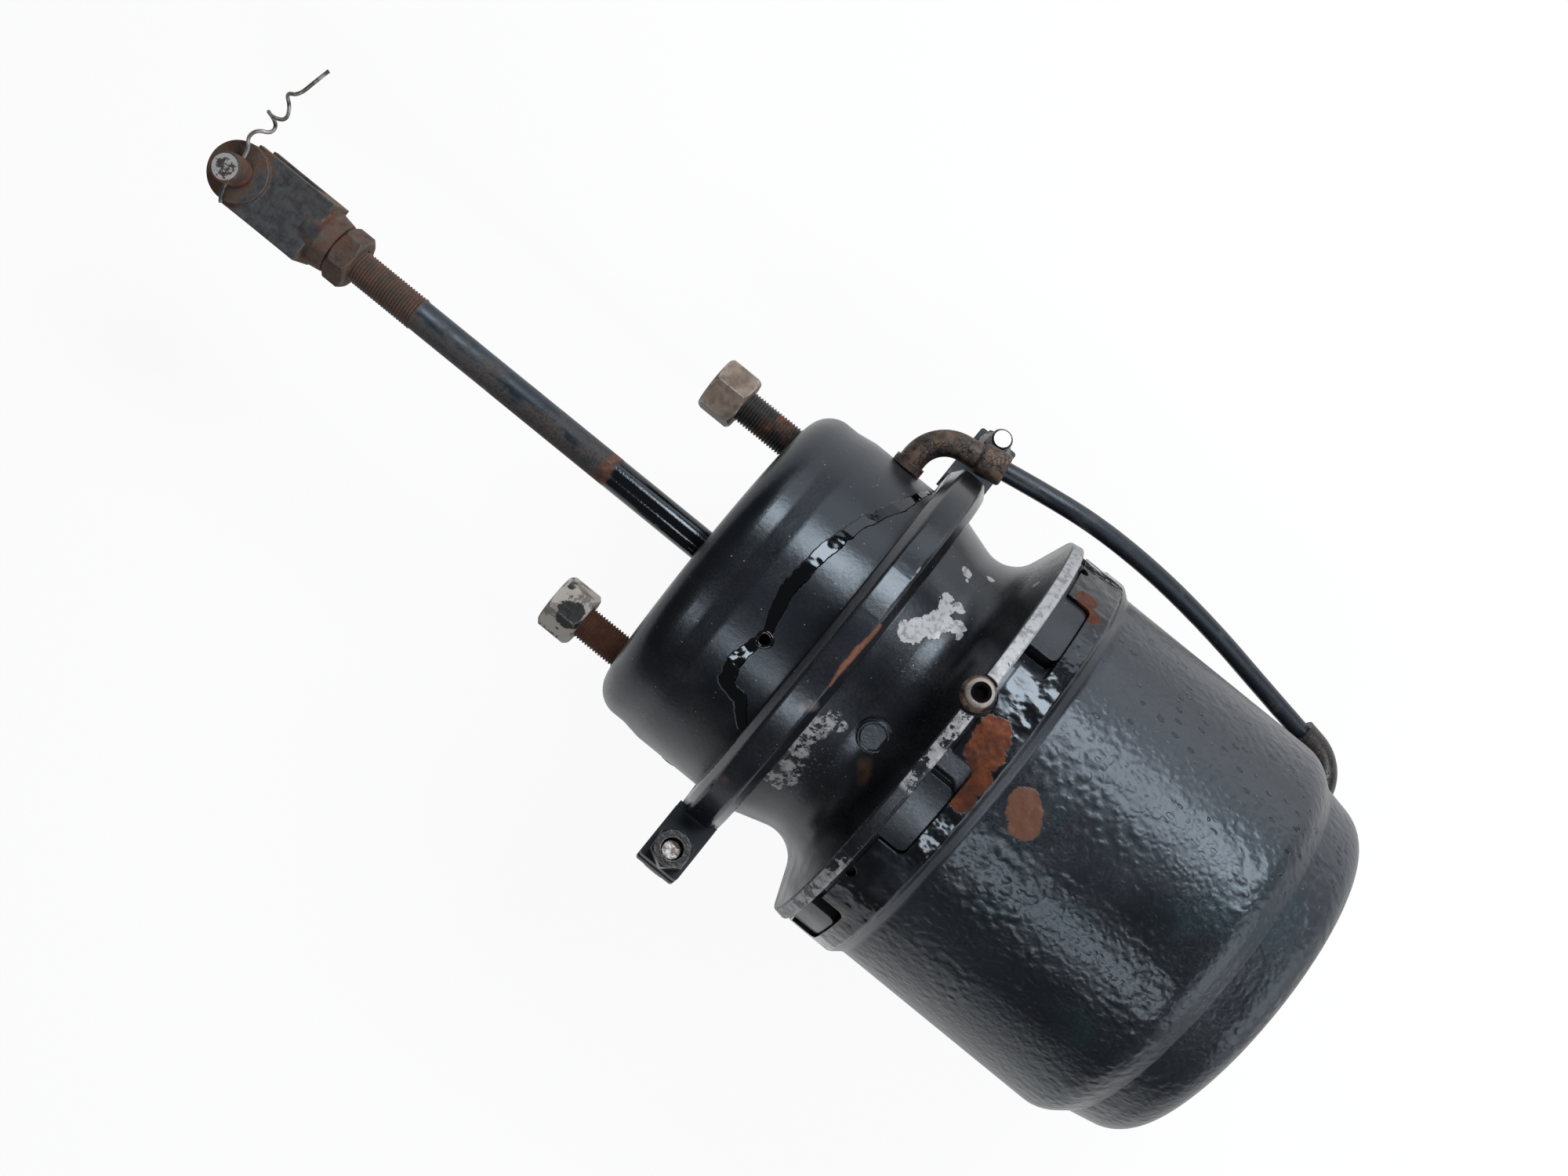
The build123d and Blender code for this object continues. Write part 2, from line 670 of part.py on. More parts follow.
def lock_screw():
    """Domed socket screw across the seam that stops the can from turning."""
    seat = rim_r - 2.5
    head = Sphere(lock_screw_head_r) & Pos(0, 0, -1.5) * Cylinder(
        lock_screw_head_r, 2 * lock_screw_head_r, align=(Align.CENTER, Align.CENTER, Align.MIN))
    head -= Pos(0, 0, 3.5) * extrude(RegularPolygon(3.2, 6), 10)
    head -= Pos(0, 0, 6.2) * Cylinder(4.2, 5, align=(Align.CENTER, Align.CENTER, Align.MIN))
    screw = at_angle(lock_screw_angle, seat + 1.5, lock_screw_x) * head
    return screw + radial_bar(lock_screw_angle, lock_screw_x, 4.0 - run_gap, rim_r - 11.5, seat + 1)


# ================================================================ spring can
def spring_can():
    """Drawn can: windowed skirt, shoulder, long wall, cone, end cap with the bolt's hole."""
    wall = can_wall
    can = turned(
        (skirt_x, skirt_r), (shoulder_x - 1, skirt_r, 4.0), (shoulder_x + 4, can_r, 4.0),
        (can_cone_x, can_r, 18.0), (cap_step_x, cap_r), (can_end_x, cap_end_r, cap_corner_r),
        (can_end_x, release_r + 6), (can_inside_x, release_r + 6),
        (can_inside_x, cap_end_r - wall, cap_corner_r - wall), (cap_step_x - 1, cap_r - wall),
        (can_cone_x - 1, can_bore_r, 15.0), (shoulder_x + 3, can_bore_r, 1.5),
        (shoulder_x - 1, skirt_bore_r), (skirt_x, skirt_bore_r),
    )
    for angle in window_centres():
        can -= window(angle, can_bore_r)
    for angle in notch_centres():
        size = lock_screw_head_r + 1.0 if angle == lock_screw_angle else notch_r
        x = lock_screw_x if angle == lock_screw_angle else skirt_x
        can -= radial_bar(angle, x, size, can_bore_r, rim_r + 5)
    can -= ring(ring_x - 1.8, ring_x + 1.8, skirt_bore_r - 1, skirt_bore_r + 1.9)
    can -= rear_elbow_hole()
    return can


def release_bush():
    """Threaded bush welded into the can's end for the release bolt."""
    bore = release_r + run_gap
    return turned(
        (can_inside_x - 8, bore), (can_inside_x - 8, release_r + 9), (can_inside_x, release_r + 9),
        (can_inside_x, release_r + 6), (can_end_x + 2, release_r + 6), (can_end_x + 2, bore),
    )


# ================================================================ spring piston and release bolt
def piston_profile():
    """Where the piston's skirt begins and ends at rest."""
    start = piston_front_x + piston_cone_length + piston_waist_length
    return start, start + piston_skirt_length


def spring_piston():
    """Dished piston: hub, front disc, cone and a skirt grooved for seal and guide ring."""
    start, end = piston_profile()
    front, back, wall = piston_front_x, piston_front_x + piston_disc_thickness, piston_wall
    cone_end = front + piston_cone_length
    outer = can_bore_r - loose_gap
    body = turned(
        (front, tube_r + run_gap), (front, piston_disc_r, 4.0), (cone_end, piston_waist_r, 6.0),
        (start, piston_waist_r, 2.0), (start + wall / 2, outer, 2.0),
        (end, outer), (end, outer - piston_skirt_wall),
        (start + wall, piston_waist_r - wall, 3.0), (cone_end + wall / 2, piston_waist_r - wall, 4.0),
        (back, piston_disc_r - wall / 2, 3.0), (back, tube_r + wall + 1),
        (back + piston_hub_length, tube_r + wall), (back + piston_hub_length, tube_r + run_gap),
    )
    seal, guide = piston_groove_x()
    seal_half, guide_half = piston_seal_width / 2 + 0.1, guide_ring_width / 2 + 0.1
    body -= ring(seal - seal_half, seal + seal_half, outer - ring_groove, can_bore_r + 2)
    body -= ring(guide - guide_half, guide + guide_half, outer - ring_groove / 2, can_bore_r + 2)
    return body


def piston_groove_x():
    """Middles of the seal's groove and of the guide ring's groove."""
    start, end = piston_profile()
    return start + piston_seal_from, end - guide_ring_from


def piston_seal():
    """Rubber ring in the first groove."""
    seal, _ = piston_groove_x()
    floor = can_bore_r - loose_gap - ring_groove
    return ring(seal - piston_seal_width / 2, seal + piston_seal_width / 2, floor + run_gap, can_bore_r - run_gap)


def piston_guide_ring():
    """Split plastic ring in the second groove."""
    _, guide = piston_groove_x()
    floor = can_bore_r - loose_gap - ring_groove / 2
    band = ring(guide - guide_ring_width / 2, guide + guide_ring_width / 2, floor + run_gap, can_bore_r - run_gap)
    return band - at_angle(90, can_bore_r, guide) * Box(2 * guide_ring_width, 2, 12)


def piston_tube():
    """Tube that carries the spring's push through the flange, closed in front by its thrust face."""
    end = piston_front_x + piston_disc_thickness + piston_hub_length
    return turned(
        (tube_tip_x, 0), (tube_tip_x, tube_r, 1.5), (end, tube_r), (end, tube_bore_r),
        (tube_tip_x + 4, tube_bore_r), (tube_tip_x + 4, 0),
    )


def stop_ring():
    """Ring screwed into the tube's back end; the release bolt pulls on it."""
    end = piston_front_x + piston_disc_thickness + piston_hub_length
    return turned(
        (end - 7, stop_ring_bore_r), (end - 7, tube_bore_r), (end, tube_bore_r), (end, tube_r + 3),
        (end + 2.5, tube_r + 3), (end + 2.5, stop_ring_bore_r),
    )


def power_spring():
    """Heavy spring that applies the parking brake."""
    return coil(piston_front_x + piston_disc_thickness + 0.2, can_inside_x - 0.2, power_spring_turns,
                power_spring_r, power_spring_r, power_wire_r)


def release_bolt():
    """Long bolt through the can's end; its collar catches the stop ring when it is unscrewed."""
    seat = can_end_x + 2 + release_washer_thickness
    bolt = rod_between(release_tip_x, seat, release_r)
    bolt += rod_between(release_tip_x, release_tip_x + release_tip_length, release_tip_r)
    head = pointing((seat, 0, 0), (1, 0, 0)) * hexagon_bar(release_flats, release_head)
    return bolt + head


def release_washer():
    """Plain washer under the release bolt's head."""
    start = can_end_x + 2
    return ring(start, start + release_washer_thickness, release_r + run_gap, release_flats / 2 + 1)


# ================================================================ elbows and hose
def route_point(x, radius, angle):
    """Point of the hose's route."""
    return around(angle, radius, x)


def elbow(mouth, corner, foot, radius, foot_height, stub_length):
    """Moulded elbow: collar at the hose, bend, foot on the wall and a stub through it."""
    inward = (foot - corner).normalized()
    path = FilletPolyline(mouth, corner, foot, radius=elbow_bend_r)
    body = tube_along(path, radius)
    along = (corner - mouth).normalized()
    collar = Cylinder(elbow_collar_r, elbow_collar_length, align=(Align.CENTER, Align.CENTER, Align.MIN))
    collar = fillet(collar.edges().filter_by(GeomType.CIRCLE), 1.6)
    body += pointing(mouth, along) * collar
    base = Cylinder(max(elbow_foot_r, radius + 0.8), foot_height, align=(Align.CENTER, Align.CENTER, Align.MIN))
    body += pointing(foot - inward * foot_height, inward) * base
    stub = Cylinder(drain_hole_r - run_gap, stub_length, align=(Align.CENTER, Align.CENTER, Align.MIN))
    return body + pointing(foot, inward) * stub


def front_elbow():
    """Elbow from the service housing over the clamp to the hose."""
    first, second = (route_point(*p) for p in hose_route[:2])
    along = (first - second).normalized()
    corner = first + along * ((drain_x - first.X) / along.X)
    foot = around(hose_angle, house_rear_r + 0.3, drain_x)
    return elbow(first, corner, foot, elbow_tube_r, elbow_foot_height, house_wall + 3)


def rear_elbow_line():
    """Mouth, corner and foot of the rear elbow, in line with the hose's last run."""
    before, last = (route_point(*p) for p in hose_route[-2:])
    along = (last - before).normalized()
    corner = last + along * ((rear_elbow_x - last.X) / along.X)
    outward = Vector(0, corner.Y, corner.Z)
    foot = Vector(corner.X, 0, 0) + outward.normalized() * (cap_wall_r() - 2.0)
    return last, corner, foot


def cap_wall_r():
    """Radius of the end cap where the rear elbow stands."""
    slope = (cap_end_r - cap_r) / (can_end_x - cap_step_x)
    return cap_r + slope * (rear_elbow_x - cap_step_x)


def rear_elbow_hole():
    """Hole in the cap for the rear elbow's stub."""
    _, corner, foot = rear_elbow_line()
    return pointing(foot + (corner - foot).normalized() * 5, foot - corner) * Cylinder(
        drain_hole_r, 20, align=(Align.CENTER, Align.CENTER, Align.MIN))


def rear_elbow():
    """Elbow from the hose into the side of the end cap."""
    mouth, corner, foot = rear_elbow_line()
    wall = turned((can_cone_x - 1, 0), (can_cone_x - 1, can_r + run_gap), (cap_step_x, cap_r + run_gap),
                  (can_end_x, cap_end_r + run_gap), (can_end_x, 0))
    body = elbow(mouth, corner, foot, rear_elbow_tube_r, elbow_foot_height + 2.0, can_wall + 2)
    return body - (wall - rear_elbow_hole())


def breather_hose():
    """Rubber hose that joins the two breathing spaces."""
    path, radii = smooth_path([route_point(*p) for p in hose_route])
    print("hose radii", [round(r) for r in radii], "length", round(path.length, 1))
    return tube_along(path, hose_r)


NODES = {
    "service_housing": service_housing,
    "mounting_studs": mounting_studs,
    "stud_nuts": stud_nuts,
    "rod_dust_seal": rod_dust_seal,
    "drain_plugs": drain_plugs,
    "service_diaphragm": service_diaphragm,
    "push_plate": push_plate,
    "push_rod": push_rod,
    "return_spring": return_spring,
    "clevis": clevis,
    "jam_nut": jam_nut,
    "clevis_pin": clevis_pin,
    "locking_wire": locking_wire,
    "clamp_half_near": lambda: clamp_half(1, True),
    "clamp_half_far": lambda: clamp_half(-1, False),
    "clamp_bolts": clamp_bolts,
    "clamp_nuts": clamp_nuts,
    "intermediate_flange": intermediate_flange,
    "retaining_ring": retaining_ring,
    "can_seal": can_seal,
    "tube_bush": tube_bush,
    "tube_seal": tube_seal,
    "lock_screw": lock_screw,
    "spring_can": spring_can,
    "release_bush": release_bush,
    "spring_piston": spring_piston,
    "piston_seal": piston_seal,
    "piston_guide_ring": piston_guide_ring,
    "piston_tube": piston_tube,
    "stop_ring": stop_ring,
    "power_spring": power_spring,
    "release_bolt": release_bolt,
    "release_washer": release_washer,
    "front_elbow": front_elbow,
    "rear_elbow": rear_elbow,
    "breather_hose": breather_hose,
}

if __name__ == "__main__":
    os.makedirs("parts", exist_ok=True)
    for node, build in NODES.items():
        save(node, build())
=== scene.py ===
"""Dressed spring brake chamber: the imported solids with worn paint, rust, dust, threads, wire and hose.

Lengths are in metres where nothing else is said. Angles round the chamber's axis, which is X, run from +Y
towards +Z.
"""

from math import cos, pi, radians, sin

import bmesh
import bpy
from mathutils import Matrix, Vector


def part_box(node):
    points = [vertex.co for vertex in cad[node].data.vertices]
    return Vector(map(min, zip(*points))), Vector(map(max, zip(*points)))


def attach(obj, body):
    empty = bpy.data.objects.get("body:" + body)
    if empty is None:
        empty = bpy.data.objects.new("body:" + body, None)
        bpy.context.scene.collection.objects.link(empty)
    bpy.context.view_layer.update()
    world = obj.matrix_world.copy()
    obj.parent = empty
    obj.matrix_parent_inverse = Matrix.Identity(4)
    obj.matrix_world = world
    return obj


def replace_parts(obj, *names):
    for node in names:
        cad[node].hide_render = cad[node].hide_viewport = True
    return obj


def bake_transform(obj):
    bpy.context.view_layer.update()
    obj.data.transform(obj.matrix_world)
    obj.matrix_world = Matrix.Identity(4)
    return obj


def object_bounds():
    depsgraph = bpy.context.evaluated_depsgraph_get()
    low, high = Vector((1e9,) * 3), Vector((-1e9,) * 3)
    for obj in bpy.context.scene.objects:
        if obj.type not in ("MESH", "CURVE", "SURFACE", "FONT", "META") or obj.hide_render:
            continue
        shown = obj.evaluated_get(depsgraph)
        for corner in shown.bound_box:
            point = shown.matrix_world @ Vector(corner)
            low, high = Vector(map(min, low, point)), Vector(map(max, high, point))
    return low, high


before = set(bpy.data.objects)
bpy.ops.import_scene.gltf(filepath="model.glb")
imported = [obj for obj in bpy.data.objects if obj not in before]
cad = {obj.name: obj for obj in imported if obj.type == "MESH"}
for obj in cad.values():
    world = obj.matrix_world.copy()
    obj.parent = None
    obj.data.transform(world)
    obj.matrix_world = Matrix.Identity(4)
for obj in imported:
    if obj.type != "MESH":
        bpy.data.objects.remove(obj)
cad_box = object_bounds()
scene = bpy.context.scene
MM = 0.001


def around(angle, radius, x=0.0):
    """Point at an angle round the axis; radius and x in millimetres."""
    return Vector((x, radius * cos(radians(angle)), radius * sin(radians(angle)))) * MM


# ------------------------------------------------------------------ camera, floor and lights
CAMERA_PLACE = (0.05073, 0.09025, 0.9477)
CAMERA_RIGHT = Vector((0.7757, 0.62766, -0.06583))
CAMERA_BACK = Vector((0.01491, 0.08606, 0.99618))
SENSOR_WIDTH, LENS = 36.0, 49.01    # millimetres


def place_camera():
    """Camera over the chamber, rolled so that the rod points to the upper left."""
    camera = bpy.data.objects.new("camera", bpy.data.cameras.new("camera"))
    scene.collection.objects.link(camera)
    right = CAMERA_RIGHT.normalized()
    back = CAMERA_BACK.normalized()
    up = back.cross(right).normalized()
    turn = Matrix((right, up, back)).transposed().to_4x4()
    camera.matrix_world = Matrix.Translation(CAMERA_PLACE) @ turn
    camera.data.sensor_width = SENSOR_WIDTH
    camera.data.lens = LENS
    scene.camera = camera


SOFTBOX_AIM = Vector((0.1, 0.0, 0.0))
SOFTBOX_COLOUR = (0.95, 0.975, 1.0)
# name, direction from the chamber, distance, size, power and shift along X
SOFTBOXES = [
    ("softbox_main", (0.0, 0.73, 0.68), 1.15, (0.86, 0.32), 12.0, 0.18),
    ("softbox_over", (0.0, -0.45, 0.88), 1.2, (0.80, 0.12), 4.0, 0.20),
    ("softbox_low", (0.1, 0.98, 0.16), 1.5, (1.6, 0.5), 5.0, 0.0),
    ("softbox_end", (0.9, 0.05, 0.42), 1.2, (0.7, 1.1), 6.0, 0.0)]
WORLD_COLOUR = (0.95, 0.97, 1.0)
WORLD_LIGHT, WORLD_SEEN = 0.12, 1.03    # its strength as light, and where the camera sees it
FLOOR_HALF, FLOOR_GAP = 6.0, 0.0005     # half the floor's side, and how far it lies under the part
FLOOR_WHITE = 0.92                      # how far the floor is plain white where it is seen


def softbox(name, direction, distance, size, power, shift):
    """Lamp panel in a direction from the chamber, with its long side level, shifted along X."""
    data = bpy.data.lights.new(name, "AREA")
    data.shape = "RECTANGLE"
    data.size, data.size_y = size
    data.energy = power
    data.color = SOFTBOX_COLOUR
    lamp = bpy.data.objects.new(name, data)
    outward = Vector(direction).normalized()
    side = Vector((outward.z, 0.0, -outward.x)).normalized()
    turn = Matrix((side, outward.cross(side), outward)).transposed().to_4x4()
    place = SOFTBOX_AIM + Vector((shift, 0.0, 0.0)) + outward * distance
    lamp.matrix_world = Matrix.Translation(place) @ turn
    scene.collection.objects.link(lamp)


def studio():
    """Pale floor, plain world and soft lamps."""
    scene.view_settings.view_transform = "Standard"
    world = bpy.data.worlds.new("studio")
    world.use_nodes = True
    n = Nodes(world.node_tree)
    background = world.node_tree.nodes["Background"]
    seen = n.add("LightPath").node.outputs["Is Camera Ray"]
    n.put(background.inputs["Color"], WORLD_COLOUR)
    n.put(background.inputs["Strength"], n.blend(WORLD_LIGHT, WORLD_SEEN, seen))
    scene.world = world
    for settings in SOFTBOXES:
        softbox(*settings)
    mesh = bpy.data.meshes.new("floor")
    low = cad_box[0][2] - FLOOR_GAP
    corners = [(x * FLOOR_HALF, y * FLOOR_HALF, low) for x, y in ((-1, -1), (1, -1), (1, 1), (-1, 1))]
    mesh.from_pydata(corners, [], [(0, 1, 2, 3)])
    floor = bpy.data.objects.new("floor", mesh)
    scene.collection.objects.link(floor)
    mesh.materials.append(floor_material())


def floor_material():
    """White floor that keeps a soft shadow."""
    material = bpy.data.materials.new("floor_white")
    material.use_nodes = True
    tree = material.node_tree
    n = Nodes(tree)
    shader = tree.nodes["Principled BSDF"]
    shader.inputs["Base Color"].default_value = (0.9, 0.9, 0.9, 1.0)
    shader.inputs["Roughness"].default_value = 0.9
    rays = n.add("LightPath").node.outputs
    seen = n.most(rays["Is Camera Ray"], rays["Is Glossy Ray"], rays["Is Transmission Ray"])
    white = n.add("Emission", {"Strength": 1.0})
    mixed = n.add("MixShader", {0: n.times(seen, FLOOR_WHITE), 1: shader.outputs[0], 2: white})
    n.put(tree.nodes["Material Output"].inputs["Surface"], mixed)
    return material


# ------------------------------------------------------------------ node building
class Nodes:
    """Adds nodes to one tree; each method hands back the new node's output."""

    def __init__(self, tree):
        self.tree = tree

    def add(self, kind, inputs=(), out=0, **settings):
        """Node of a kind with its settings; inputs gives what each socket, by name or index, gets."""
        node = self.tree.nodes.new("ShaderNode" + kind)
        for key, value in settings.items():
            setattr(node, key, value)
        for name, value in dict(inputs).items():
            self.put(node.inputs[name], value)
        return node.outputs[out]

    def put(self, socket, value):
        """Link a socket to an output, or set its own value."""
        if isinstance(value, bpy.types.NodeSocket):
            self.tree.links.new(value, socket)
        elif socket.type == "RGBA" and len(value) == 3:
            socket.default_value = (*value, 1.0)
        else:
            socket.default_value = value

    def point(self):
        """Place on the surface in the chamber's own axes."""
        return self.add("TexCoord", out="Object")

    def math(self, operation, a, b=0.0, clamp=False):
        """Number worked out from one or two numbers."""
        return self.add("Math", {0: a, 1: b}, operation=operation, use_clamp=clamp)

    def vector(self, operation, a, b=(0.0, 0.0, 0.0), out=0):
        """Vector, or number, worked out from one or two vectors."""
        return self.add("VectorMath", {0: a, 1: b}, out=out, operation=operation)

    def scaled(self, point, factors):
        """Point stretched by a factor for each axis."""
        return self.vector("MULTIPLY", point, factors)

    def noise(self, point, scale, detail=3.0, rough=0.55, out=0):
        """Cloudy pattern from 0 to 1, or its colour with out=1; scale is in clouds per metre."""
        settings = {"Vector": point, "Scale": scale, "Detail": detail, "Roughness": rough}
        return self.add("TexNoise", settings, out=out)

    def cells(self, point, scale, feature="F1"):
        """Pattern of rounded cells; scale is in cells per metre."""
        return self.add("TexVoronoi", {"Vector": point, "Scale": scale}, feature=feature)

    def step(self, value, low, high, to_low=0.0, to_high=1.0):
        """Smooth change from to_low to to_high while the value goes from low to high."""
        return self.add("MapRange", {"Value": value, "From Min": low, "From Max": high, "To Min": to_low,
                                     "To Max": to_high}, interpolation_type="SMOOTHSTEP")

    def rest(self, mask):
        """What a mask leaves out."""
        return self.math("SUBTRACT", 1.0, mask)

    def blend(self, under, over, mask):
        """Number between two numbers."""
        return self.add("Mix", {0: mask, 2: under, 3: over}, data_type="FLOAT")

    def tint(self, under, over, mask):
        """Colour between two colours."""
        return self.add("Mix", {0: mask, 6: under, 7: over}, out=2, data_type="RGBA")

    def mottle(self, dark, light, pattern, low=0.35, high=0.65):
        """Colour that goes from dark to light while a pattern goes from low to high."""
        return self.tint(dark, light, self.step(pattern, low, high))

    def most(self, *masks):
        """Largest of several masks."""
        top = masks[0]
        for mask in masks[1:]:
            top = self.math("MAXIMUM", top, mask)
        return top

    def times(self, *values):
        """Product of several numbers."""
        product = values[0]
        for value in values[1:]:
            product = self.math("MULTIPLY", product, value)
        return product

    def group(self, tree, inputs=(), out=0):
        """One of the shared effects."""
        node = self.tree.nodes.new("ShaderNodeGroup")
        node.node_tree = tree
        for name, value in dict(inputs).items():
            self.put(node.inputs[name], value)
        return node.outputs[out]


def effect(name, inputs, outputs, build):
    """Shared node group whose inputs are numbers with their usual values, or vectors with None.

    build gets the node builder and the inputs, and returns the outputs in order.
    """
    tree = bpy.data.node_groups.new(name, "ShaderNodeTree")
    for label, value in inputs.items():
        kind = "Vector" if value is None else "Float"
        socket = tree.interface.new_socket(label, in_out="INPUT", socket_type="NodeSocket" + kind)
        if value is not None:
            socket.default_value = value
    for label, kind in outputs.items():
        tree.interface.new_socket(label, in_out="OUTPUT", socket_type="NodeSocket" + kind)
    way_in = tree.nodes.new("NodeGroupInput")
    way_out = tree.nodes.new("NodeGroupOutput")
    nodes = Nodes(tree)
    results = build(nodes, {label: way_in.outputs[label] for label in inputs})
    for label, result in zip(outputs, results):
        tree.links.new(result, way_out.inputs[label])
    return tree


def build_spot(n, given):
    """Round patch whose edge wanders by a share of its size."""
    far = n.vector("DISTANCE", given["Point"], given["Centre"], out="Value")
    inside = n.math("SUBTRACT", n.rest(given["Wander"]), n.math("DIVIDE", far, given["Size"]))
    return (n.step(inside, 0.0, given["Soft"]),)


def build_streak(n, given):
    """Band between two points whose edge wanders by a share of its width."""
    along = n.vector("SUBTRACT", given["End"], given["Start"])
    here = n.vector("SUBTRACT", given["Point"], given["Start"])
    length = n.vector("DOT_PRODUCT", along, along, out="Value")
    share = n.math("DIVIDE", n.vector("DOT_PRODUCT", here, along, out="Value"), length, clamp=True)
    nearest = n.add("VectorMath", {0: along, "Scale": share}, operation="SCALE")
    far = n.vector("DISTANCE", here, nearest, out="Value")
    width = n.blend(given["Width"], given["End Width"], share)
    inside = n.math("SUBTRACT", n.rest(given["Wander"]), n.math("DIVIDE", far, width))
    return (n.step(inside, 0.0, given["Soft"]),)


def build_edge_wear(n, given):
    """Mask of convex edges, broken up by grain."""
    soft = n.add("Bevel", {"Radius": given["Radius"]}, samples=4)
    true = n.add("NewGeometry", out="Normal")
    bend = n.rest(n.vector("DOT_PRODUCT", soft, true, out="Value"))
    grain = n.noise(given["Point"], given["Grain"], 4.0, 0.65)
    return (n.step(n.math("MULTIPLY", bend, n.step(grain, 0.35, 0.65)), 0.02, given["Reach"]),)


def build_dust(n, given):
    """Fine settled dust with specks."""
    broad = n.noise(given["Point"], given["Scale"], 4.0, 0.6)
    fine = n.noise(given["Point"], 900.0, 2.0, 0.7)
    speck = n.step(n.cells(given["Point"], 420.0), 0.16, 0.10)
    chance = n.step(n.noise(given["Point"], 260.0, 1.0, 0.5), 0.58, 0.66)
    film = n.times(n.step(broad, 0.35, 0.75), n.step(fine, 0.3, 0.7), given["Amount"])
    return film, n.times(speck, chance, given["Specks"])


def build_rust(n, given):
    """Rust colour and its rough height."""
    broad = n.noise(given["Point"], given["Scale"], 5.0, 0.65)
    fine = n.noise(given["Point"], 1100.0, 3.0, 0.7)
    dark = n.mottle((0.035, 0.016, 0.009), (0.16, 0.045, 0.014), broad, 0.35, 0.6)
    bright = n.tint(dark, (0.34, 0.12, 0.035), n.times(n.step(broad, 0.52, 0.72), n.step(fine, 0.4, 0.65)))
    return bright, n.math("ADD", n.math("MULTIPLY", broad, 0.5), n.math("MULTIPLY", fine, 0.5))


MASK = {"Mask": "Float"}
SPOT = effect(
    "ragged spot", {"Point": None, "Centre": None, "Size": 0.01, "Soft": 0.1, "Wander": 0.0}, MASK, build_spot)
STREAK = effect(
    "ragged streak",
    {"Point": None, "Start": None, "End": None, "Width": 0.01, "End Width": 0.01, "Soft": 0.1, "Wander": 0.0},
    MASK, build_streak)
WEAR = effect(
    "edge wear", {"Point": None, "Radius": 0.001, "Reach": 0.12, "Grain": 300.0}, MASK, build_edge_wear)
DUST = effect(
    "dust", {"Point": None, "Scale": 40.0, "Amount": 0.5, "Specks": 0.5},
    {"Film": "Float", "Specks": "Float"}, build_dust)
RUST = effect("rust", {"Point": None, "Scale": 120.0}, {"Colour": "Color", "Height": "Float"}, build_rust)


def finish_material(name, build):
    """Material whose builder returns what feeds the shader.

    Height and Depth make its bump, and Edge is the radius of its rounded edges.
    """
    material = bpy.data.materials.new(name)
    material.use_nodes = True
    tree = material.node_tree
    shader = tree.nodes["Principled BSDF"]
    n = Nodes(tree)
    feeds = build(n)
    height = feeds.pop("Height", None)
    depth = feeds.pop("Depth", 0.0003)
    edge = feeds.pop("Edge", 0.0)
    if height is not None:
        bump = {"Height": height, "Distance": depth}
        if edge:
            bump["Normal"] = n.add("Bevel", {"Radius": edge}, samples=4)
        feeds["Normal"] = n.add("Bump", bump)
    for socket, value in feeds.items():
        n.put(shader.inputs[socket], value)
    return material


def dress(nodes, material):
    """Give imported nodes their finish."""
    for node in nodes.split():
        slots = cad[node].data.materials
        if not slots:
            slots.append(material)
        for index in range(len(slots)):
            slots[index] = material


# ------------------------------------------------------------------ finishes
def wander(n, point, grain, share, detail=5.0, rough=0.65):
    """How far the edge of a patch strays, as a share of its size."""
    return n.math("MULTIPLY", n.math("SUBTRACT", n.noise(point, grain, detail, rough), 0.5), share)


def spots(n, point, marks, stray, soft):
    """Patches from (angle, radius, x, size) marks in millimetres."""
    masks = []
    for angle, radius, x, size in marks:
        given = {"Point": point, "Soft": soft, "Wander": stray}
        given.update({"Centre": around(angle, radius, x), "Size": size * MM})
        masks.append(n.group(SPOT, given))
    return n.most(*masks)


def streaks(n, point, path, stray, soft):
    """Band through (angle, radius, x, half width) places in millimetres."""
    masks = []
    for (a0, r0, x0, w0), (a1, r1, x1, w1) in zip(path, path[1:]):
        given = {"Point": point, "Soft": soft, "Wander": stray}
        given.update({"Start": around(a0, r0, x0), "Width": w0 * MM})
        given.update({"End": around(a1, r1, x1), "End Width": w1 * MM})
        masks.append(n.group(STREAK, given))
    return n.most(*masks)


def axes(n, point):
    """X, Y and Z of a point."""
    return n.add("SeparateXYZ", {0: point}).node.outputs


def wear(n, point, radius, reach, grain):
    """Mask of the rubbed edges."""
    return n.group(WEAR, {"Point": point, "Radius": radius, "Reach": reach, "Grain": grain})


def dust_film(n, point, scale, amount, specks):
    """Film and specks of dust."""
    film = n.group(DUST, {"Point": point, "Scale": scale, "Amount": amount, "Specks": specks})
    return film, film.node.outputs["Specks"]


def rusted(n, point, scale):
    """Colour and height of rust."""
    colour = n.group(RUST, {"Point": point, "Scale": scale})
    return colour, colour.node.outputs["Height"]


# the run of thick paint on the housing: (angle, radius, x, half width) places along it
PAINT_RUN = [
    (4.0, 84.0, 62.0, 0.8), (16.3, 84.0, 58.6, 1.4), (32.6, 84.0, 53.9, 3.0), (50.3, 84.0, 45.1, 2.8),
    (64.4, 84.0, 41.0, 3.6), (77.1, 84.0, 39.3, 3.4), (85.8, 84.0, 41.4, 2.8), (93.0, 84.0, 44.7, 1.8),
    (97.5, 84.0, 42.5, 2.6), (104.9, 84.0, 40.8, 3.4), (111.1, 84.0, 43.3, 3.8), (112.5, 84.0, 52.4, 3.6),
    (119.0, 84.0, 60.0, 2.6)]
# painted reflection colour: reflections on the paint and rubber are tinted bluish for the light's bluish cast
BLUE_REFLECTION_TINT = (0.78, 0.89, 1.0)
# near black of wet paint, also used as painted shade on the clamp's ears
WET_AND_SHADE_BLACK = (0.0012, 0.0013, 0.0016)
BLACK_DEEP, BLACK_WORN = (0.0024, 0.0030, 0.0046), (0.0085, 0.0100, 0.0145)


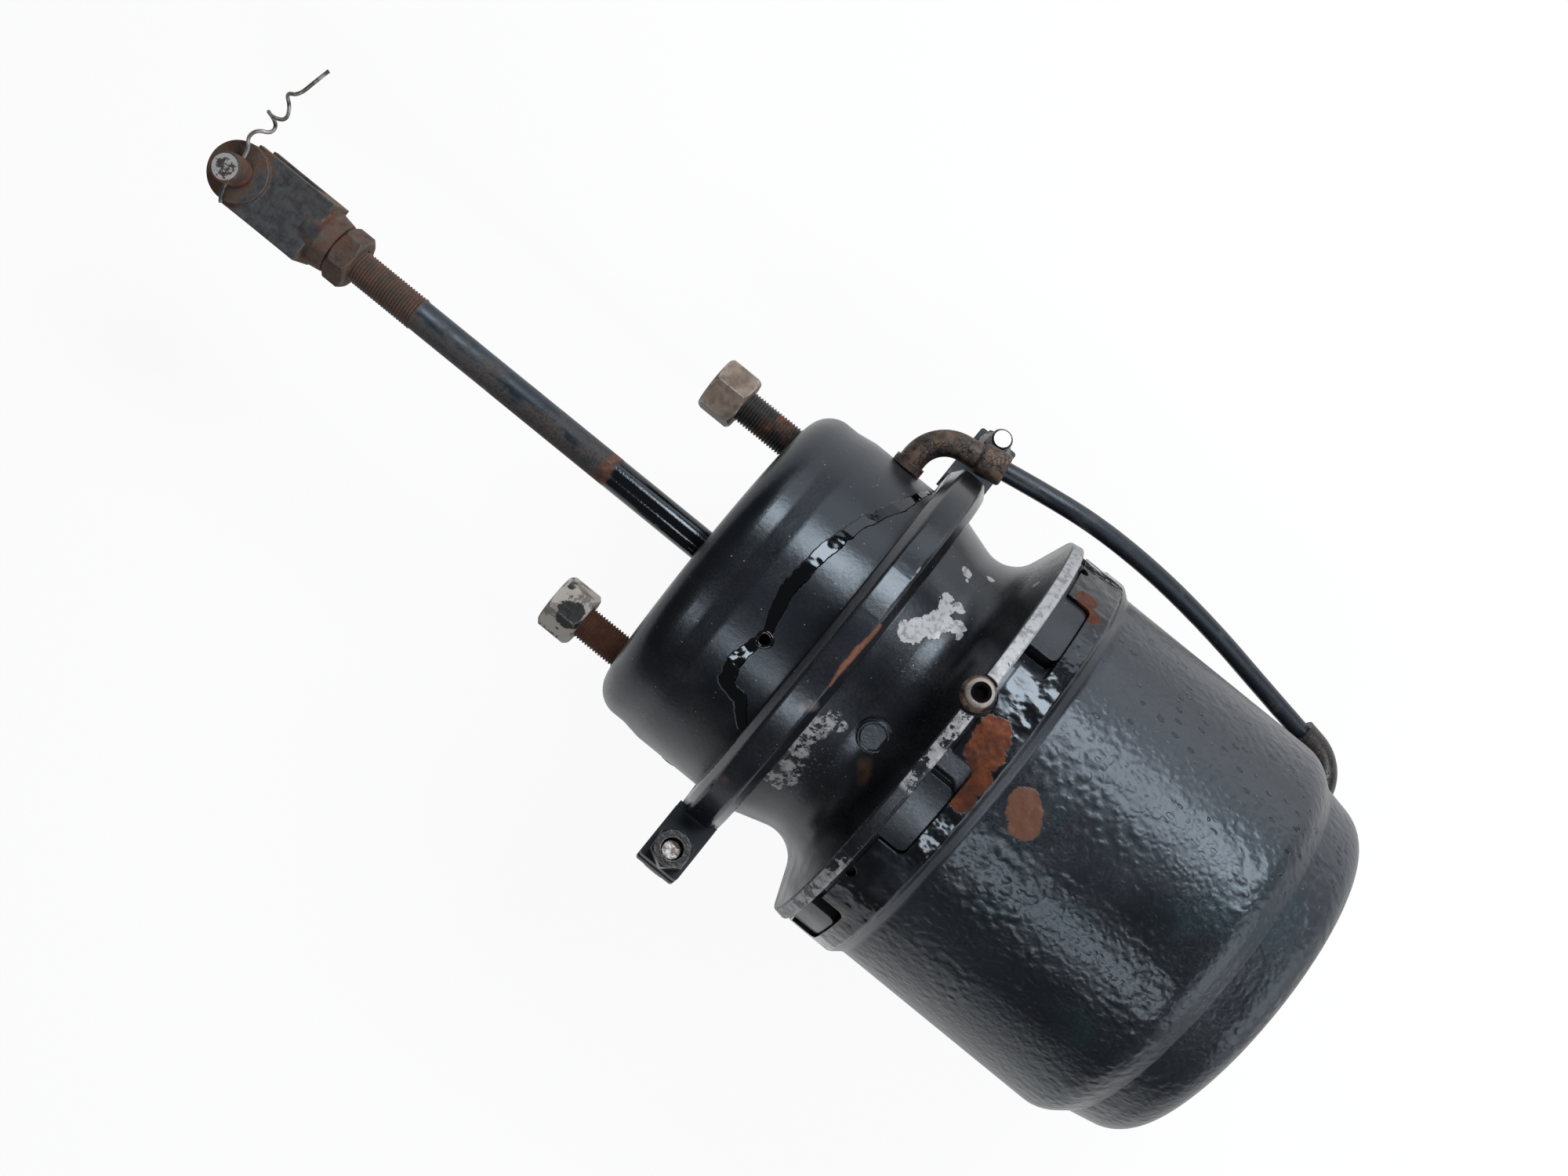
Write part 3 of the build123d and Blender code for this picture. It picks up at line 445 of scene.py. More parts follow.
def housing_finish(n):
    """Satin black paint with settled dust, specks and one glossy run of thick paint."""
    p = n.point()
    broad = n.noise(p, 16.0, 3.0)
    peel = n.noise(p, 420.0, 3.0)
    far_side = n.step(axes(n, p)["Y"], 0.01, -0.075)
    film, specks = dust_film(n, p, 34.0, 0.42, 0.75)
    run = streaks(n, p, PAINT_RUN, wander(n, p, 150.0, 0.9, 2.0), 0.16)
    paint = n.mottle(BLACK_DEEP, BLACK_WORN, broad)
    dusty = n.tint(paint, (0.060, 0.048, 0.038), n.times(film, n.blend(0.35, 1.0, far_side)))
    dusty = n.tint(dusty, (0.28, 0.26, 0.23), specks)
    dusty = n.tint(dusty, (0.12, 0.12, 0.12), n.times(wear(n, p, 0.0012, 0.5, 420.0), 0.3))
    rough = n.blend(n.blend(0.24, 0.36, n.step(broad, 0.3, 0.7)), 0.6, film)
    run_height = n.times(run, n.math("ADD", 1.0, n.noise(p, 130.0, 1.0)))
    return {
        "Base Color": n.tint(dusty, WET_AND_SHADE_BLACK, run),
        "Roughness": n.blend(rough, 0.06, run),
        "Specular Tint": BLUE_REFLECTION_TINT,
        "Height": n.math("ADD", n.times(peel, 0.10, n.blend(1.0, 0.3, run)), run_height),
        "Depth": 0.0007,
        "Edge": 0.0006,
    }


def wet_paint_finish(n):
    """Thick glossy paint."""
    p = n.point()
    return {
        "Base Color": n.tint(WET_AND_SHADE_BLACK, (0.004, 0.004, 0.005), n.noise(p, 300.0, 2.0)),
        "Roughness": 0.07,
        "Height": n.noise(p, 380.0, 2.0),
        "Depth": 0.0003,
    }


# (angle, radius, x, size) of the bare chips, the loose flakes, the fine spatter and the seep on the flange
CHIPS = [
    (66.5, 81.5, 88.6, 4.6), (63.0, 80.3, 91.5, 4.8), (59.0, 79.0, 95.0, 5.2), (54.7, 78.2, 97.0, 5.6),
    (50.5, 78.6, 95.0, 4.6), (47.5, 79.3, 93.2, 3.0), (53.2, 77.9, 103.0, 3.6), (55.5, 77.0, 107.0, 2.6),
    (47.0, 78.4, 99.5, 2.8), (33.6, 79.5, 93.4, 3.0), (35.6, 79.0, 95.5, 1.9), (25.6, 76.7, 103.3, 2.0),
    (30.7, 93.5, 119.0, 2.4)]
FLAKES = [
    (100.2, 81.6, 87.1, 5.0), (104.0, 82.9, 84.5, 6.0), (108.5, 82.9, 83.6, 6.0), (113.5, 82.7, 84.0, 6.5),
    (100.3, 79.9, 91.7, 3.0), (120.5, 82.0, 86.5, 6.0), (127.0, 82.0, 86.0, 7.0)]
SPATTER = [
    (114.0, 81.0, 88.5, 16.0), (70.0, 79.0, 98.0, 12.0), (128.0, 80.8, 88.0, 14.0),
    (240.0, 82.0, 92.0, 22.0), (310.0, 90.0, 118.0, 16.0)]
SEEP = [(105.0, 79.0, 110.0, 6.0), (107.5, 81.0, 114.0, 6.5)]
# angles round the axis at which the rim's edge goes from bared to partly and mostly painted
RIM_TOP, RIM_SCREW, RIM_PATCHY, RIM_DARK, RIM_LOW = -60.0, 73.0, 98.0, 120.0, 165.0


def rim_paint_kept(n, point, angle):
    """Share of paint left on the rim's edge at each angle."""
    grain = n.noise(point, 95.0, 5.0, 0.7)
    little = n.step(grain, 0.64, 0.67)
    half = n.step(grain, 0.50, 0.53)
    kept = n.blend(little, half, n.step(angle, RIM_SCREW, RIM_SCREW + 4.0))
    past_patchy = n.step(angle, RIM_PATCHY - 1.0, RIM_PATCHY + 1.0)
    dark = n.times(past_patchy, n.step(angle, RIM_DARK + 1.0, RIM_DARK - 1.0), n.step(grain, 0.30, 0.34))
    hidden = n.most(n.step(angle, RIM_LOW, RIM_LOW + 6.0), n.step(angle, RIM_TOP, RIM_TOP - 6.0))
    return n.most(kept, dark, n.times(hidden, n.step(grain, 0.36, 0.4)))


def flange_finish(n):
    """Worn black paint over cast alloy: chips, spatter, a bared rim edge and brown dust in the neck."""
    p = n.point()
    x, y, z = axes(n, p)
    radius = n.vector("LENGTH", n.scaled(p, (0.0, 1.0, 1.0)), out="Value")
    angle = n.times(n.math("ARCTAN2", z, y), 180.0 / pi)
    far_side = n.step(y, -0.005, -0.085)
    broad = n.noise(p, 22.0, 4.0)
    fine = n.noise(p, 420.0, 3.0, 0.6)
    flakes = n.noise(p, 230.0, 6.0, 0.75)
    chip_edge = wander(n, p, 130.0, 2.2, 6.0, 0.72)
    chips = n.times(spots(n, p, CHIPS, chip_edge, 0.05), n.step(flakes, 0.27, 0.31))
    loose = n.times(spots(n, p, FLAKES, wander(n, p, 160.0, 1.8), 0.25), n.step(flakes, 0.475, 0.49))
    spatter = n.times(spots(n, p, SPATTER, 0.0, 1.0), n.step(n.noise(p, 700.0, 3.0, 0.75), 0.61, 0.64))
    on_rim = n.times(n.step(radius, 0.1032, 0.1041), n.step(x, 0.1227, 0.1233))
    rim_bare = n.times(on_rim, n.rest(rim_paint_kept(n, p, angle)))
    bare = n.most(chips, loose, spatter, rim_bare)
    film, specks = dust_film(n, p, 30.0, 0.6, 0.5)
    brown = n.times(n.step(broad, 0.42, 0.66), n.blend(0.10, 0.60, far_side))
    seep = spots(n, p, SEEP, wander(n, p, 160.0, 1.4), 0.9)
    paint = n.mottle((0.0026, 0.0032, 0.0048), (0.0095, 0.0110, 0.0155), broad)
    paint = n.tint(paint, (0.045, 0.036, 0.029), n.most(n.times(film, 0.6), brown))
    paint = n.tint(paint, (0.085, 0.045, 0.024), n.times(seep, 0.6))
    paint = n.tint(paint, (0.25, 0.23, 0.2), specks)
    metal = n.mottle((0.18, 0.18, 0.18), (0.34, 0.34, 0.35), n.noise(p, 330.0, 4.0, 0.65), 0.35, 0.55)
    return {
        "Base Color": n.tint(paint, metal, bare),
        "Metallic": n.times(bare, 0.3),
        "Roughness": n.blend(n.blend(0.27, 0.60, n.most(brown, film)), 0.5, bare),
        "Specular Tint": BLUE_REFLECTION_TINT,
        "Height": n.math("SUBTRACT", n.times(fine, 0.2), n.times(bare, 0.9)),
        "Depth": 0.00035,
        "Edge": 0.0007,
    }


# (angle, radius, x, size) of rust and dirt on the can's windowed skirt, and of the rust on its wall
SKIRT_RUST = [
    (76.5, 104.0, 139.4, 8.5), (81.0, 104.0, 141.5, 8.5), (86.0, 104.0, 143.8, 8.0),
    (91.5, 104.0, 146.0, 5.5), (31.3, 104.0, 138.1, 5.5), (35.0, 104.0, 143.4, 5.5),
    (201.0, 104.0, 141.0, 9.0), (285.0, 104.0, 143.0, 7.0)]
SKIRT_BROWN = [(139.4, 104.0, 138.3, 9.0), (99.5, 104.0, 134.4, 6.0), (150.0, 104.0, 141.0, 8.0)]
CAN_RUST = [(83.7, 100.0, 166.3, 7.0), (85.6, 100.0, 169.0, 7.6), (87.4, 100.0, 171.8, 7.2)]
CAN_HALO = [(85.2, 100.0, 170.0, 11.5)]
SKIRT_X = (0.1535, 0.1505)      # where the skirt's wet paint starts and is full
WALL_X = (0.1555, 0.161)        # the same for the blisters on the wall


def can_paint_height(n, p, bent, patch):
    """Blisters, peel and sags of the can's thick paint."""
    blisters = n.times(n.step(n.cells(bent, 250.0, "SMOOTH_F1"), 0.75, 0.05), n.step(patch, 0.36, 0.58))
    peel = n.times(n.step(n.cells(bent, 430.0, "SMOOTH_F1"), 0.7, 0.05), n.step(patch, 0.80, 0.35))
    sag = n.noise(n.scaled(p, (0.6, 1.0, 1.0)), 75.0, 2.0)
    bumps = n.math("ADD", n.times(blisters, 0.55), n.times(peel, 0.22))
    return n.math("ADD", bumps, n.times(sag, 0.8))


def can_finish(n):
    """Thick blistered paint on the can, wet black and rust on the windowed skirt."""
    p = n.point()
    x, y = axes(n, p)[:2]
    broad = n.noise(p, 11.0, 3.0)
    patch = n.noise(p, 24.0, 3.0)
    bent = n.vector("ADD", p, n.scaled(n.noise(p, 150.0, 2.0, out=1), (0.004, 0.004, 0.004)))
    wall = n.step(x, *WALL_X)
    skirt = n.step(x, *SKIRT_X)
    pits = n.times(n.step(n.cells(n.scaled(p, (0.6, 1.0, 1.0)), 240.0), 0.30, 0.20),
                   n.step(n.noise(p, 90.0, 1.0), 0.50, 0.56), n.step(y, 0.035, 0.055), wall)
    film = dust_film(n, p, 26.0, 0.30, 0.25)[0]
    # towards -Y the pale film is cut to about a third, so that side of the can stays darker
    film = n.times(film, n.step(y, -0.075, -0.01, 0.35, 1.0))
    # paler, duller grey over the wall's +Y side
    paler_plus_y_wall = n.times(n.step(y, 0.02, 0.07), wall, 0.20)
    wet = n.times(skirt, n.step(n.noise(p, 60.0, 2.0), 0.30, 0.55))
    stray = wander(n, p, 150.0, 1.1)
    brown = n.times(spots(n, p, SKIRT_BROWN, wander(n, p, 120.0, 1.2), 0.5), skirt, n.step(patch, 0.3, 0.5))
    skirt_rust = n.times(spots(n, p, SKIRT_RUST, stray, 0.14), skirt)
    can_rust = spots(n, p, CAN_RUST, wander(n, p, 260.0, 0.7), 0.10)
    halo = spots(n, p, CAN_HALO, stray, 0.5)
    rust_mask = n.most(skirt_rust, can_rust)
    rust, rust_height = rusted(n, p, 170.0)

    paint = n.mottle((0.0022, 0.0029, 0.0045), (0.0090, 0.0108, 0.0150), broad)
    paint = n.tint(paint, (0.0045, 0.0150, 0.0190), n.times(n.step(n.noise(p, 19.0, 2.0), 0.52, 0.70), 0.7))
    paint = n.tint(paint, (0.085, 0.088, 0.098), n.most(film, paler_plus_y_wall))
    paint = n.tint(paint, (0.004, 0.004, 0.005), pits)
    paint = n.tint(paint, (0.0020, 0.0022, 0.0028), n.times(wet, 0.95))
    paint = n.tint(paint, (0.085, 0.060, 0.042), n.times(brown, 0.8))
    paint = n.tint(paint, (0.030, 0.026, 0.024), n.times(halo, 0.7))
    rust_colour = n.tint(rust, (0.062, 0.013, 0.004), 0.62)
    rust_colour = n.tint(rust_colour, (0.101, 0.034, 0.0114), n.times(can_rust, 0.85))

    lumps = n.math("ADD", n.noise(p, 75.0, 1.0), n.times(n.noise(p, 210.0, 1.0), 0.30))
    grain = n.math("ADD", n.times(n.noise(p, 900.0, 2.0), 0.05), n.times(rust_height, rust_mask, 0.25))
    height = n.times(wall, can_paint_height(n, p, bent, patch))
    height = n.math("ADD", height, n.times(skirt, lumps, 2.8))
    height = n.math("ADD", height, grain)
    rough = n.blend(0.30, 0.38, n.step(broad, 0.4, 0.7))
    rough = n.blend(n.blend(rough, 0.44, n.most(film, paler_plus_y_wall)), 0.15, wet)
    return {
        "Base Color": n.tint(paint, rust_colour, rust_mask),
        "Metallic": n.times(skirt_rust, 0.64),
        "Roughness": n.blend(rough, n.blend(0.55, 0.62, can_rust), rust_mask),
        "Specular Tint": BLUE_REFLECTION_TINT,
        "Height": n.math("SUBTRACT", height, n.times(pits, 0.5)),
        "Depth": 0.0006,
        "Edge": 0.0009,
    }


# (angle, radius, x, half width or size) of the clamp's rust streak, rubbed place, rusty feet and of the ears,
# which are dulled and darkened with painted shade
CLAMP_STREAK = [
    (73.0, 98.5, 77.4, 1.4), (77.0, 98.5, 76.9, 2.0), (82.0, 99.0, 76.2, 2.2), (88.0, 99.0, 76.0, 1.6),
    (91.0, 99.0, 76.8, 0.9)]
CLAMP_RUBBED = [(97.5, 99.5, 77.5, 4.0), (99.0, 100.0, 74.0, 3.0)]
CLAMP_FEET = [(158.0, 100.0, 70.0, 7.0), (338.0, 97.0, 71.0, 9.0), (128.0, 99.0, 68.0, 3.0)]
CLAMP_SHADED_EARS = [(-21.0, 112.0, 70.0, 24.0), (159.0, 112.0, 70.0, 24.0)]


def clamp_finish(n):
    """Satin black band with a rust streak, rubbed edges, and duller ears whose paint is darkened as painted
    shade.
    """
    p = n.point()
    broad = n.noise(p, 24.0, 3.0)
    fine = n.noise(p, 480.0, 3.0)
    film, specks = dust_film(n, p, 38.0, 0.38, 0.5)
    rust, rust_height = rusted(n, p, 200.0)
    band = streaks(n, p, CLAMP_STREAK, wander(n, p, 170.0, 1.2), 0.5)
    worn = spots(n, p, CLAMP_RUBBED, wander(n, p, 200.0, 1.6), 0.9)
    foot = spots(n, p, CLAMP_FEET, wander(n, p, 120.0, 1.6), 0.8)
    dull_shaded_ears = spots(n, p, CLAMP_SHADED_EARS, 0.0, 0.3)
    rusty = n.most(n.times(band, 0.85), n.times(foot, 0.30))
    paint = n.mottle(BLACK_DEEP, (0.0090, 0.0105, 0.0150), broad)
    paint = n.tint(paint, (0.065, 0.056, 0.047), n.times(film, 0.8))
    paint = n.tint(paint, (0.25, 0.23, 0.21), specks)
    paint = n.tint(paint, (0.17, 0.14, 0.13), n.times(worn, 0.55))
    paint = n.tint(paint, (0.20, 0.20, 0.21), n.times(wear(n, p, 0.0011, 0.25, 260.0), 0.5))
    # painted shade: the ears' paint is pulled most of the way to near black
    paint = n.tint(paint, WET_AND_SHADE_BLACK, n.times(dull_shaded_ears, 0.75))
    rough = n.blend(0.20, 0.30, n.step(broad, 0.35, 0.7))
    return {
        "Base Color": n.tint(paint, n.tint(rust, (0.17, 0.055, 0.022), 0.6), rusty),
        "Roughness": n.blend(rough, 0.65, n.most(rusty, n.times(dull_shaded_ears, 0.8))),
        "Specular Tint": BLUE_REFLECTION_TINT,
        "Height": n.math("ADD", n.times(fine, 0.2), n.times(rust_height, rusty, 0.5)),
        "Depth": 0.0003,
        "Edge": 0.0008,
    }


# where along X the dark steel of the fork's cheeks begins and ends
CHEEK_FRONT, CHEEK_BACK = (-0.2585, -0.2555), (-0.2170, -0.2200)


def rusty_forging(n, cheek):
    """Brown dusty rust; cheek gives the share of dark bare steel on the flat faces."""
    p = n.point()
    rust, rust_height = rusted(n, p, 95.0)
    pitted = n.noise(p, 240.0, 5.0, 0.7)
    film = dust_film(n, p, 60.0, 0.9, 0.4)[0]
    up = n.add("SeparateXYZ", {0: n.add("NewGeometry", out="Normal")}, out="Z")
    ragged = n.math("ADD", axes(n, p)["X"], n.times(wander(n, p, 110.0, 1.0), 0.016))
    level = n.step(n.math("ABSOLUTE", up), 0.93, 0.985)
    kept = n.step(n.noise(p, 75.0, 3.0), 0.25, 0.42)
    flat = n.times(level, kept, n.step(ragged, *CHEEK_FRONT), n.step(ragged, *CHEEK_BACK), cheek)
    rub = wear(n, p, 0.0009, 0.18, 300.0)
    brown = n.mottle(n.tint(rust, (0.045, 0.028, 0.021), 0.5), (0.080, 0.058, 0.044), pitted)
    steel = n.mottle((0.040, 0.044, 0.052), (0.085, 0.088, 0.094), pitted)
    colour = n.tint(brown, steel, flat)
    colour = n.tint(colour, (0.115, 0.097, 0.080), n.times(film, 0.55))
    return {
        "Base Color": n.tint(colour, (0.30, 0.28, 0.26), n.times(rub, 0.45)),
        "Metallic": n.times(n.most(flat, rub), 0.3),
        "Roughness": n.blend(0.8, 0.5, flat),
        "Height": n.math("ADD", n.times(pitted, 0.6), n.times(rust_height, 0.4)),
        "Depth": 0.0005,
        "Edge": 0.0009,
    }


SEAL_EDGE_X = -0.0565       # how far the rod used to stand out past the old seal
ROD_THREAD_X = -0.168       # where the rod's thread starts


def rod_finish(n):
    """Dark rod: glossy by the housing, a rust ring at the old seal's edge, brown dust and thread beyond."""
    p = n.point()
    x, y = axes(n, p)[:2]
    place = n.math("ADD", x, n.times(n.math("SUBTRACT", n.noise(p, 160.0, 2.0), 0.5), 0.005))
    glossy = n.step(place, SEAL_EDGE_X - 0.001, SEAL_EDGE_X + 0.001)
    ring = n.times(n.step(place, SEAL_EDGE_X - 0.005, SEAL_EDGE_X - 0.003),
                   n.step(place, SEAL_EDGE_X + 0.003, SEAL_EDGE_X))
    thread = n.step(place, ROD_THREAD_X + 0.002, ROD_THREAD_X - 0.002)
    streaky = n.noise(n.scaled(p, (0.5, 1.0, 1.0)), 120.0, 4.0, 0.65)
    lie = n.math("ADD", n.times(n.step(x, -0.130, -0.075), 0.10), n.step(y, 0.004, -0.005, -0.08, 0.08))
    dust = n.times(n.step(n.math("ADD", streaky, lie), 0.40, 0.62), n.rest(glossy))
    fine = n.noise(p, 800.0, 3.0, 0.7)
    rust = rusted(n, p, 210.0)[0]
    scratch = n.step(n.noise(n.scaled(p, (0.25, 1.0, 1.0)), 300.0, 2.0), 0.68, 0.71)
    colour = n.mottle((0.007, 0.010, 0.016), (0.018, 0.023, 0.031), n.noise(p, 70.0, 3.0))
    colour = n.tint(colour, (0.080, 0.062, 0.049), n.times(dust, n.step(fine, 0.25, 0.6), 0.80))
    colour = n.tint(colour, n.tint(rust, (0.080, 0.055, 0.040), 0.7), n.times(thread, 0.9))
    colour = n.tint(colour, (0.0035, 0.0040, 0.0052), glossy)
    colour = n.tint(colour, (0.16, 0.17, 0.18), n.times(glossy, scratch))
    dull = n.blend(0.36, 0.72, n.most(dust, thread))
    return {
        "Base Color": n.tint(colour, rust, n.times(ring, 0.85)),
        "Roughness": n.blend(dull, n.blend(0.10, 0.7, ring), glossy),
        "Specular Tint": BLUE_REFLECTION_TINT,
        "Height": n.math("ADD", n.times(fine, 0.25), n.times(dust, 0.3)),
        "Depth": 0.0002,
    }


STUD_Y = 0.060325           # distance of each stud from the chamber's axis


def stud_finish(n):
    """Threaded studs: the upper one dark with orange rust, the lower one red-brown all over."""
    p = n.point()
    lower = n.step(axes(n, p)["Y"], 0.0, -0.01)
    rust = rusted(n, p, 230.0)[0]
    where = n.step(n.noise(p, 105.0, 4.0, 0.65), 0.50, 0.64)
    mask = n.blend(n.times(where, 0.85), 0.95, lower)
    warm = n.tint(rust, (0.105, 0.034, 0.016), n.times(lower, 0.7))
    either_side = n.vector("ABSOLUTE", n.scaled(p, (0.0, 1.0, 1.0)))
    radius = n.vector("DISTANCE", either_side, (0.0, STUD_Y, 0.0), out="Value")
    crest = n.step(radius, 0.0074, 0.0078)
    grain = n.noise(p, 300.0, 3.0)
    dark = n.tint((0.010, 0.010, 0.011), (0.085, 0.078, 0.072), n.times(crest, grain))
    return {
        "Base Color": n.tint(dark, warm, n.times(mask, n.blend(0.6, 1.0, grain))),
        "Roughness": n.blend(0.40, 0.8, mask),
        "Height": n.noise(p, 900.0, 4.0, 0.7),
        "Depth": 0.0002,
    }


NUT_BLACK = (169.6, 61.0, -29.6, 6.5)       # bare dark patch on the lower nut


def nut_finish(n):
    """Zinc nuts: the upper brown-grey with silver edges, the lower pale and flaking to dark steel."""
    p = n.point()
    lower = n.step(axes(n, p)["Y"], 0.0, -0.01)
    rub = wear(n, p, 0.0014, 0.10, 380.0)
    patch = n.noise(p, 130.0, 4.0, 0.65)
    fine = n.noise(p, 620.0, 4.0, 0.7)
    upper_colour = n.mottle((0.115, 0.082, 0.062), (0.235, 0.180, 0.142), patch)
    flaking = n.step(n.noise(p, 90.0, 5.0, 0.7), 0.46, 0.49)
    stained = n.mottle((0.13, 0.105, 0.088), (0.26, 0.225, 0.195), patch)
    lower_colour = n.tint(stained, (0.44, 0.41, 0.37), flaking)
    black = n.most(n.step(n.noise(p, 62.0, 3.0), 0.62, 0.64),
                   spots(n, p, [NUT_BLACK], wander(n, p, 170.0, 1.4), 0.08))
    lower_colour = n.tint(lower_colour, (0.010, 0.010, 0.012), black)
    colour = n.tint(upper_colour, lower_colour, lower)
    return {
        "Base Color": n.tint(colour, (0.52, 0.51, 0.50), n.times(rub, n.blend(0.9, 0.5, lower))),
        "Metallic": n.times(rub, 0.7),
        "Roughness": n.blend(0.60, 0.33, rub),
        "Height": n.math("ADD", n.times(fine, 0.4), n.times(flaking, lower, 0.6)),
        "Depth": 0.00025,
        "Edge": 0.0006,
    }


BOLT_OUTWARD = (0.0, 0.3584, 0.9336)        # way that the clamp bolts' free ends point
LONG_END = (0.0320, 0.0330)                 # height along that way of the long and the short bolt's cut end
SHORT_END_LOW, SHORT_END_HIGH = (0.0134, 0.0137), (0.0146, 0.0142)


def bolt_finish(n):
    """Dark bolts and nuts whose cut ends are bright."""
    p = n.point()
    rub = wear(n, p, 0.0009, 0.10, 420.0)
    shade = n.noise(p, 180.0, 4.0, 0.65)
    facing = n.vector("DOT_PRODUCT", n.add("NewGeometry", out="Normal"), BOLT_OUTWARD, out="Value")
    height = n.vector("DOT_PRODUCT", p, BOLT_OUTWARD, out="Value")
    long_end = n.step(height, *LONG_END)
    short_end = n.times(n.step(height, *SHORT_END_LOW), n.step(height, *SHORT_END_HIGH))
    flat = n.times(n.step(facing, 0.96, 0.99), n.most(long_end, short_end))
    stain = n.step(n.noise(p, 330.0, 4.0, 0.65), 0.50, 0.56)
    end = n.times(flat, n.blend(1.0, 0.25, n.times(stain, n.rest(long_end))))
    dark = n.mottle((0.006, 0.0065, 0.008), (0.026, 0.024, 0.023), shade, 0.4, 0.7)
    dark = n.tint(dark, (0.16, 0.060, 0.025), n.times(flat, stain))
    bright = n.most(end, n.times(rub, 0.5))
    return {
        "Base Color": n.tint(dark, (0.50, 0.49, 0.48), bright),
        "Metallic": n.times(bright, 0.6),
        "Roughness": n.blend(0.38, 0.42, bright),
        "Height": n.noise(p, 500.0, 3.0),
        "Depth": 0.0003,
        "Edge": 0.0005,
    }


LOCK_SCREW = (71.7, 105.0, 124.6)           # angle, radius and x of the ball's centre
SHADED_SOCKET_R = (0.0044, 0.0041)                 # edge of the socket, whose recess is coloured near black as painted shade, then the bright ring round its mouth
MOUTH_IN, MOUTH_OUT = (0.0043, 0.0045), (0.0064, 0.0056)


def lock_screw_finish(n):
    """Ball-headed screw: worn metal with brown stains, a socket coloured near black as painted shade, and a
    rubbed mouth.
    """
    p = n.point()
    stain = n.step(n.noise(p, 150.0, 4.0, 0.65), 0.40, 0.55)
    outward = tuple(around(LOCK_SCREW[0], 1.0).normalized())
    from_centre = n.vector("SUBTRACT", p, around(*LOCK_SCREW))
    along = n.vector("DOT_PRODUCT", from_centre, outward, out="Value")
    on_axis = n.add("VectorMath", {0: outward, "Scale": along}, operation="SCALE")
    from_axis = n.vector("LENGTH", n.vector("SUBTRACT", from_centre, on_axis), out="Value")
    socket = n.step(from_axis, *SHADED_SOCKET_R)
    mouth = n.times(n.step(from_axis, *MOUTH_IN), n.step(from_axis, *MOUTH_OUT))
    black = n.step(n.noise(p, 120.0, 2.0), 0.55, 0.60)
    colour = n.tint((0.25, 0.21, 0.18), (0.095, 0.045, 0.028), stain)
    colour = n.tint(colour, (0.006, 0.006, 0.007), n.times(black, 0.9))
    colour = n.tint(colour, (0.50, 0.48, 0.45), n.times(mouth, 0.5))
    return {
        # painted shade: the socket's recess is coloured near black
        "Base Color": n.tint(colour, (0.004, 0.003, 0.003), socket),
        "Metallic": n.blend(n.times(n.rest(n.most(stain, black)), 0.7), 0.85, socket),
        "Roughness": n.blend(n.blend(0.26, 0.30, stain), 0.9, socket),
        "Height": n.noise(p, 420.0, 4.0),
        "Depth": 0.0002,
        "Edge": 0.0004,
    }


def elbow_finish(n, dust_share):
    """Moulded elbow with crackled brown dust."""
    p = n.point()
    bent = n.vector("ADD", p, n.scaled(n.noise(p, 300.0, 2.0, out=1), (0.002, 0.002, 0.002)))
    crackle = n.cells(bent, 420.0, "DISTANCE_TO_EDGE")
    cracks = n.times(n.step(crackle, 0.09, 0.02), n.step(n.noise(p, 130.0, 3.0), 0.42, 0.55))
    dusty = n.times(n.step(n.noise(p, 95.0, 4.0, 0.65), 0.34, 0.55), dust_share)
    brown = n.mottle((0.034, 0.026, 0.022), (0.125, 0.078, 0.052), n.noise(p, 170.0, 4.0))
    colour = n.tint((0.009, 0.009, 0.010), brown, dusty)
    return {
        "Base Color": n.tint(colour, (0.004, 0.0035, 0.0035), n.times(cracks, dust_share)),
        "Roughness": n.blend(0.30, 0.70, dusty),
        "Height": n.math("SUBTRACT", n.times(n.noise(p, 500.0, 4.0, 0.7), 0.5), n.times(cracks, 0.9)),
        "Depth": 0.0003,
        "Edge": 0.0006,
    }


def hose_finish(n):
    """Dark rubber with faint cloth-like grain and light dust."""
    p = n.point()
    dust = n.step(n.noise(p, 140.0, 4.0), 0.52, 0.75)
    return {
        "Base Color": n.tint((0.009, 0.011, 0.015), (0.050, 0.050, 0.052), n.times(dust, 0.6)),
        "Roughness": n.blend(0.34, 0.60, dust),
        "Specular Tint": BLUE_REFLECTION_TINT,
        "Height": n.noise(n.scaled(p, (1.0, 2.0, 2.0)), 900.0, 3.0, 0.6),
        "Depth": 0.00012,
    }


PIN_X, PIN_FACE_R = -0.266, 0.0059          # the pin's place and the radius of its worn end
PIN_TOP = (0.0312, 0.0318)


def pin_finish(n):
    """Brown pin whose cut end is worn bright with dark pits."""
    p = n.point()
    from_axis = n.vector("DISTANCE", n.scaled(p, (1.0, 1.0, 0.0)), (PIN_X, 0.0, 0.0), out="Value")
    ragged = n.math("ADD", from_axis, n.times(wander(n, p, 200.0, 1.0), 0.001))
    end = n.times(n.step(axes(n, p)["Z"], *PIN_TOP), n.step(ragged, PIN_FACE_R + 0.0002, PIN_FACE_R - 0.0002))
    rust = rusted(n, p, 140.0)[0]
    rim = n.step(from_axis, 0.0038, 0.0046)
    pits = n.step(n.math("SUBTRACT", n.noise(p, 330.0, 5.0, 0.75), n.times(rim, 0.12)), 0.44, 0.49)
    face = n.tint((0.66, 0.65, 0.64), (0.055, 0.047, 0.042), pits)
    side = n.mottle(rust, (0.045, 0.038, 0.034), n.noise(p, 200.0, 3.0), 0.40, 0.60)
    return {
        "Base Color": n.tint(side, face, end),
        "Metallic": n.times(end, n.rest(pits), 0.6),
        "Roughness": n.blend(0.75, 0.40, end),
        "Height": n.noise(p, 600.0, 4.0, 0.7),
        "Depth": 0.0002,
        "Edge": 0.0006,
    }


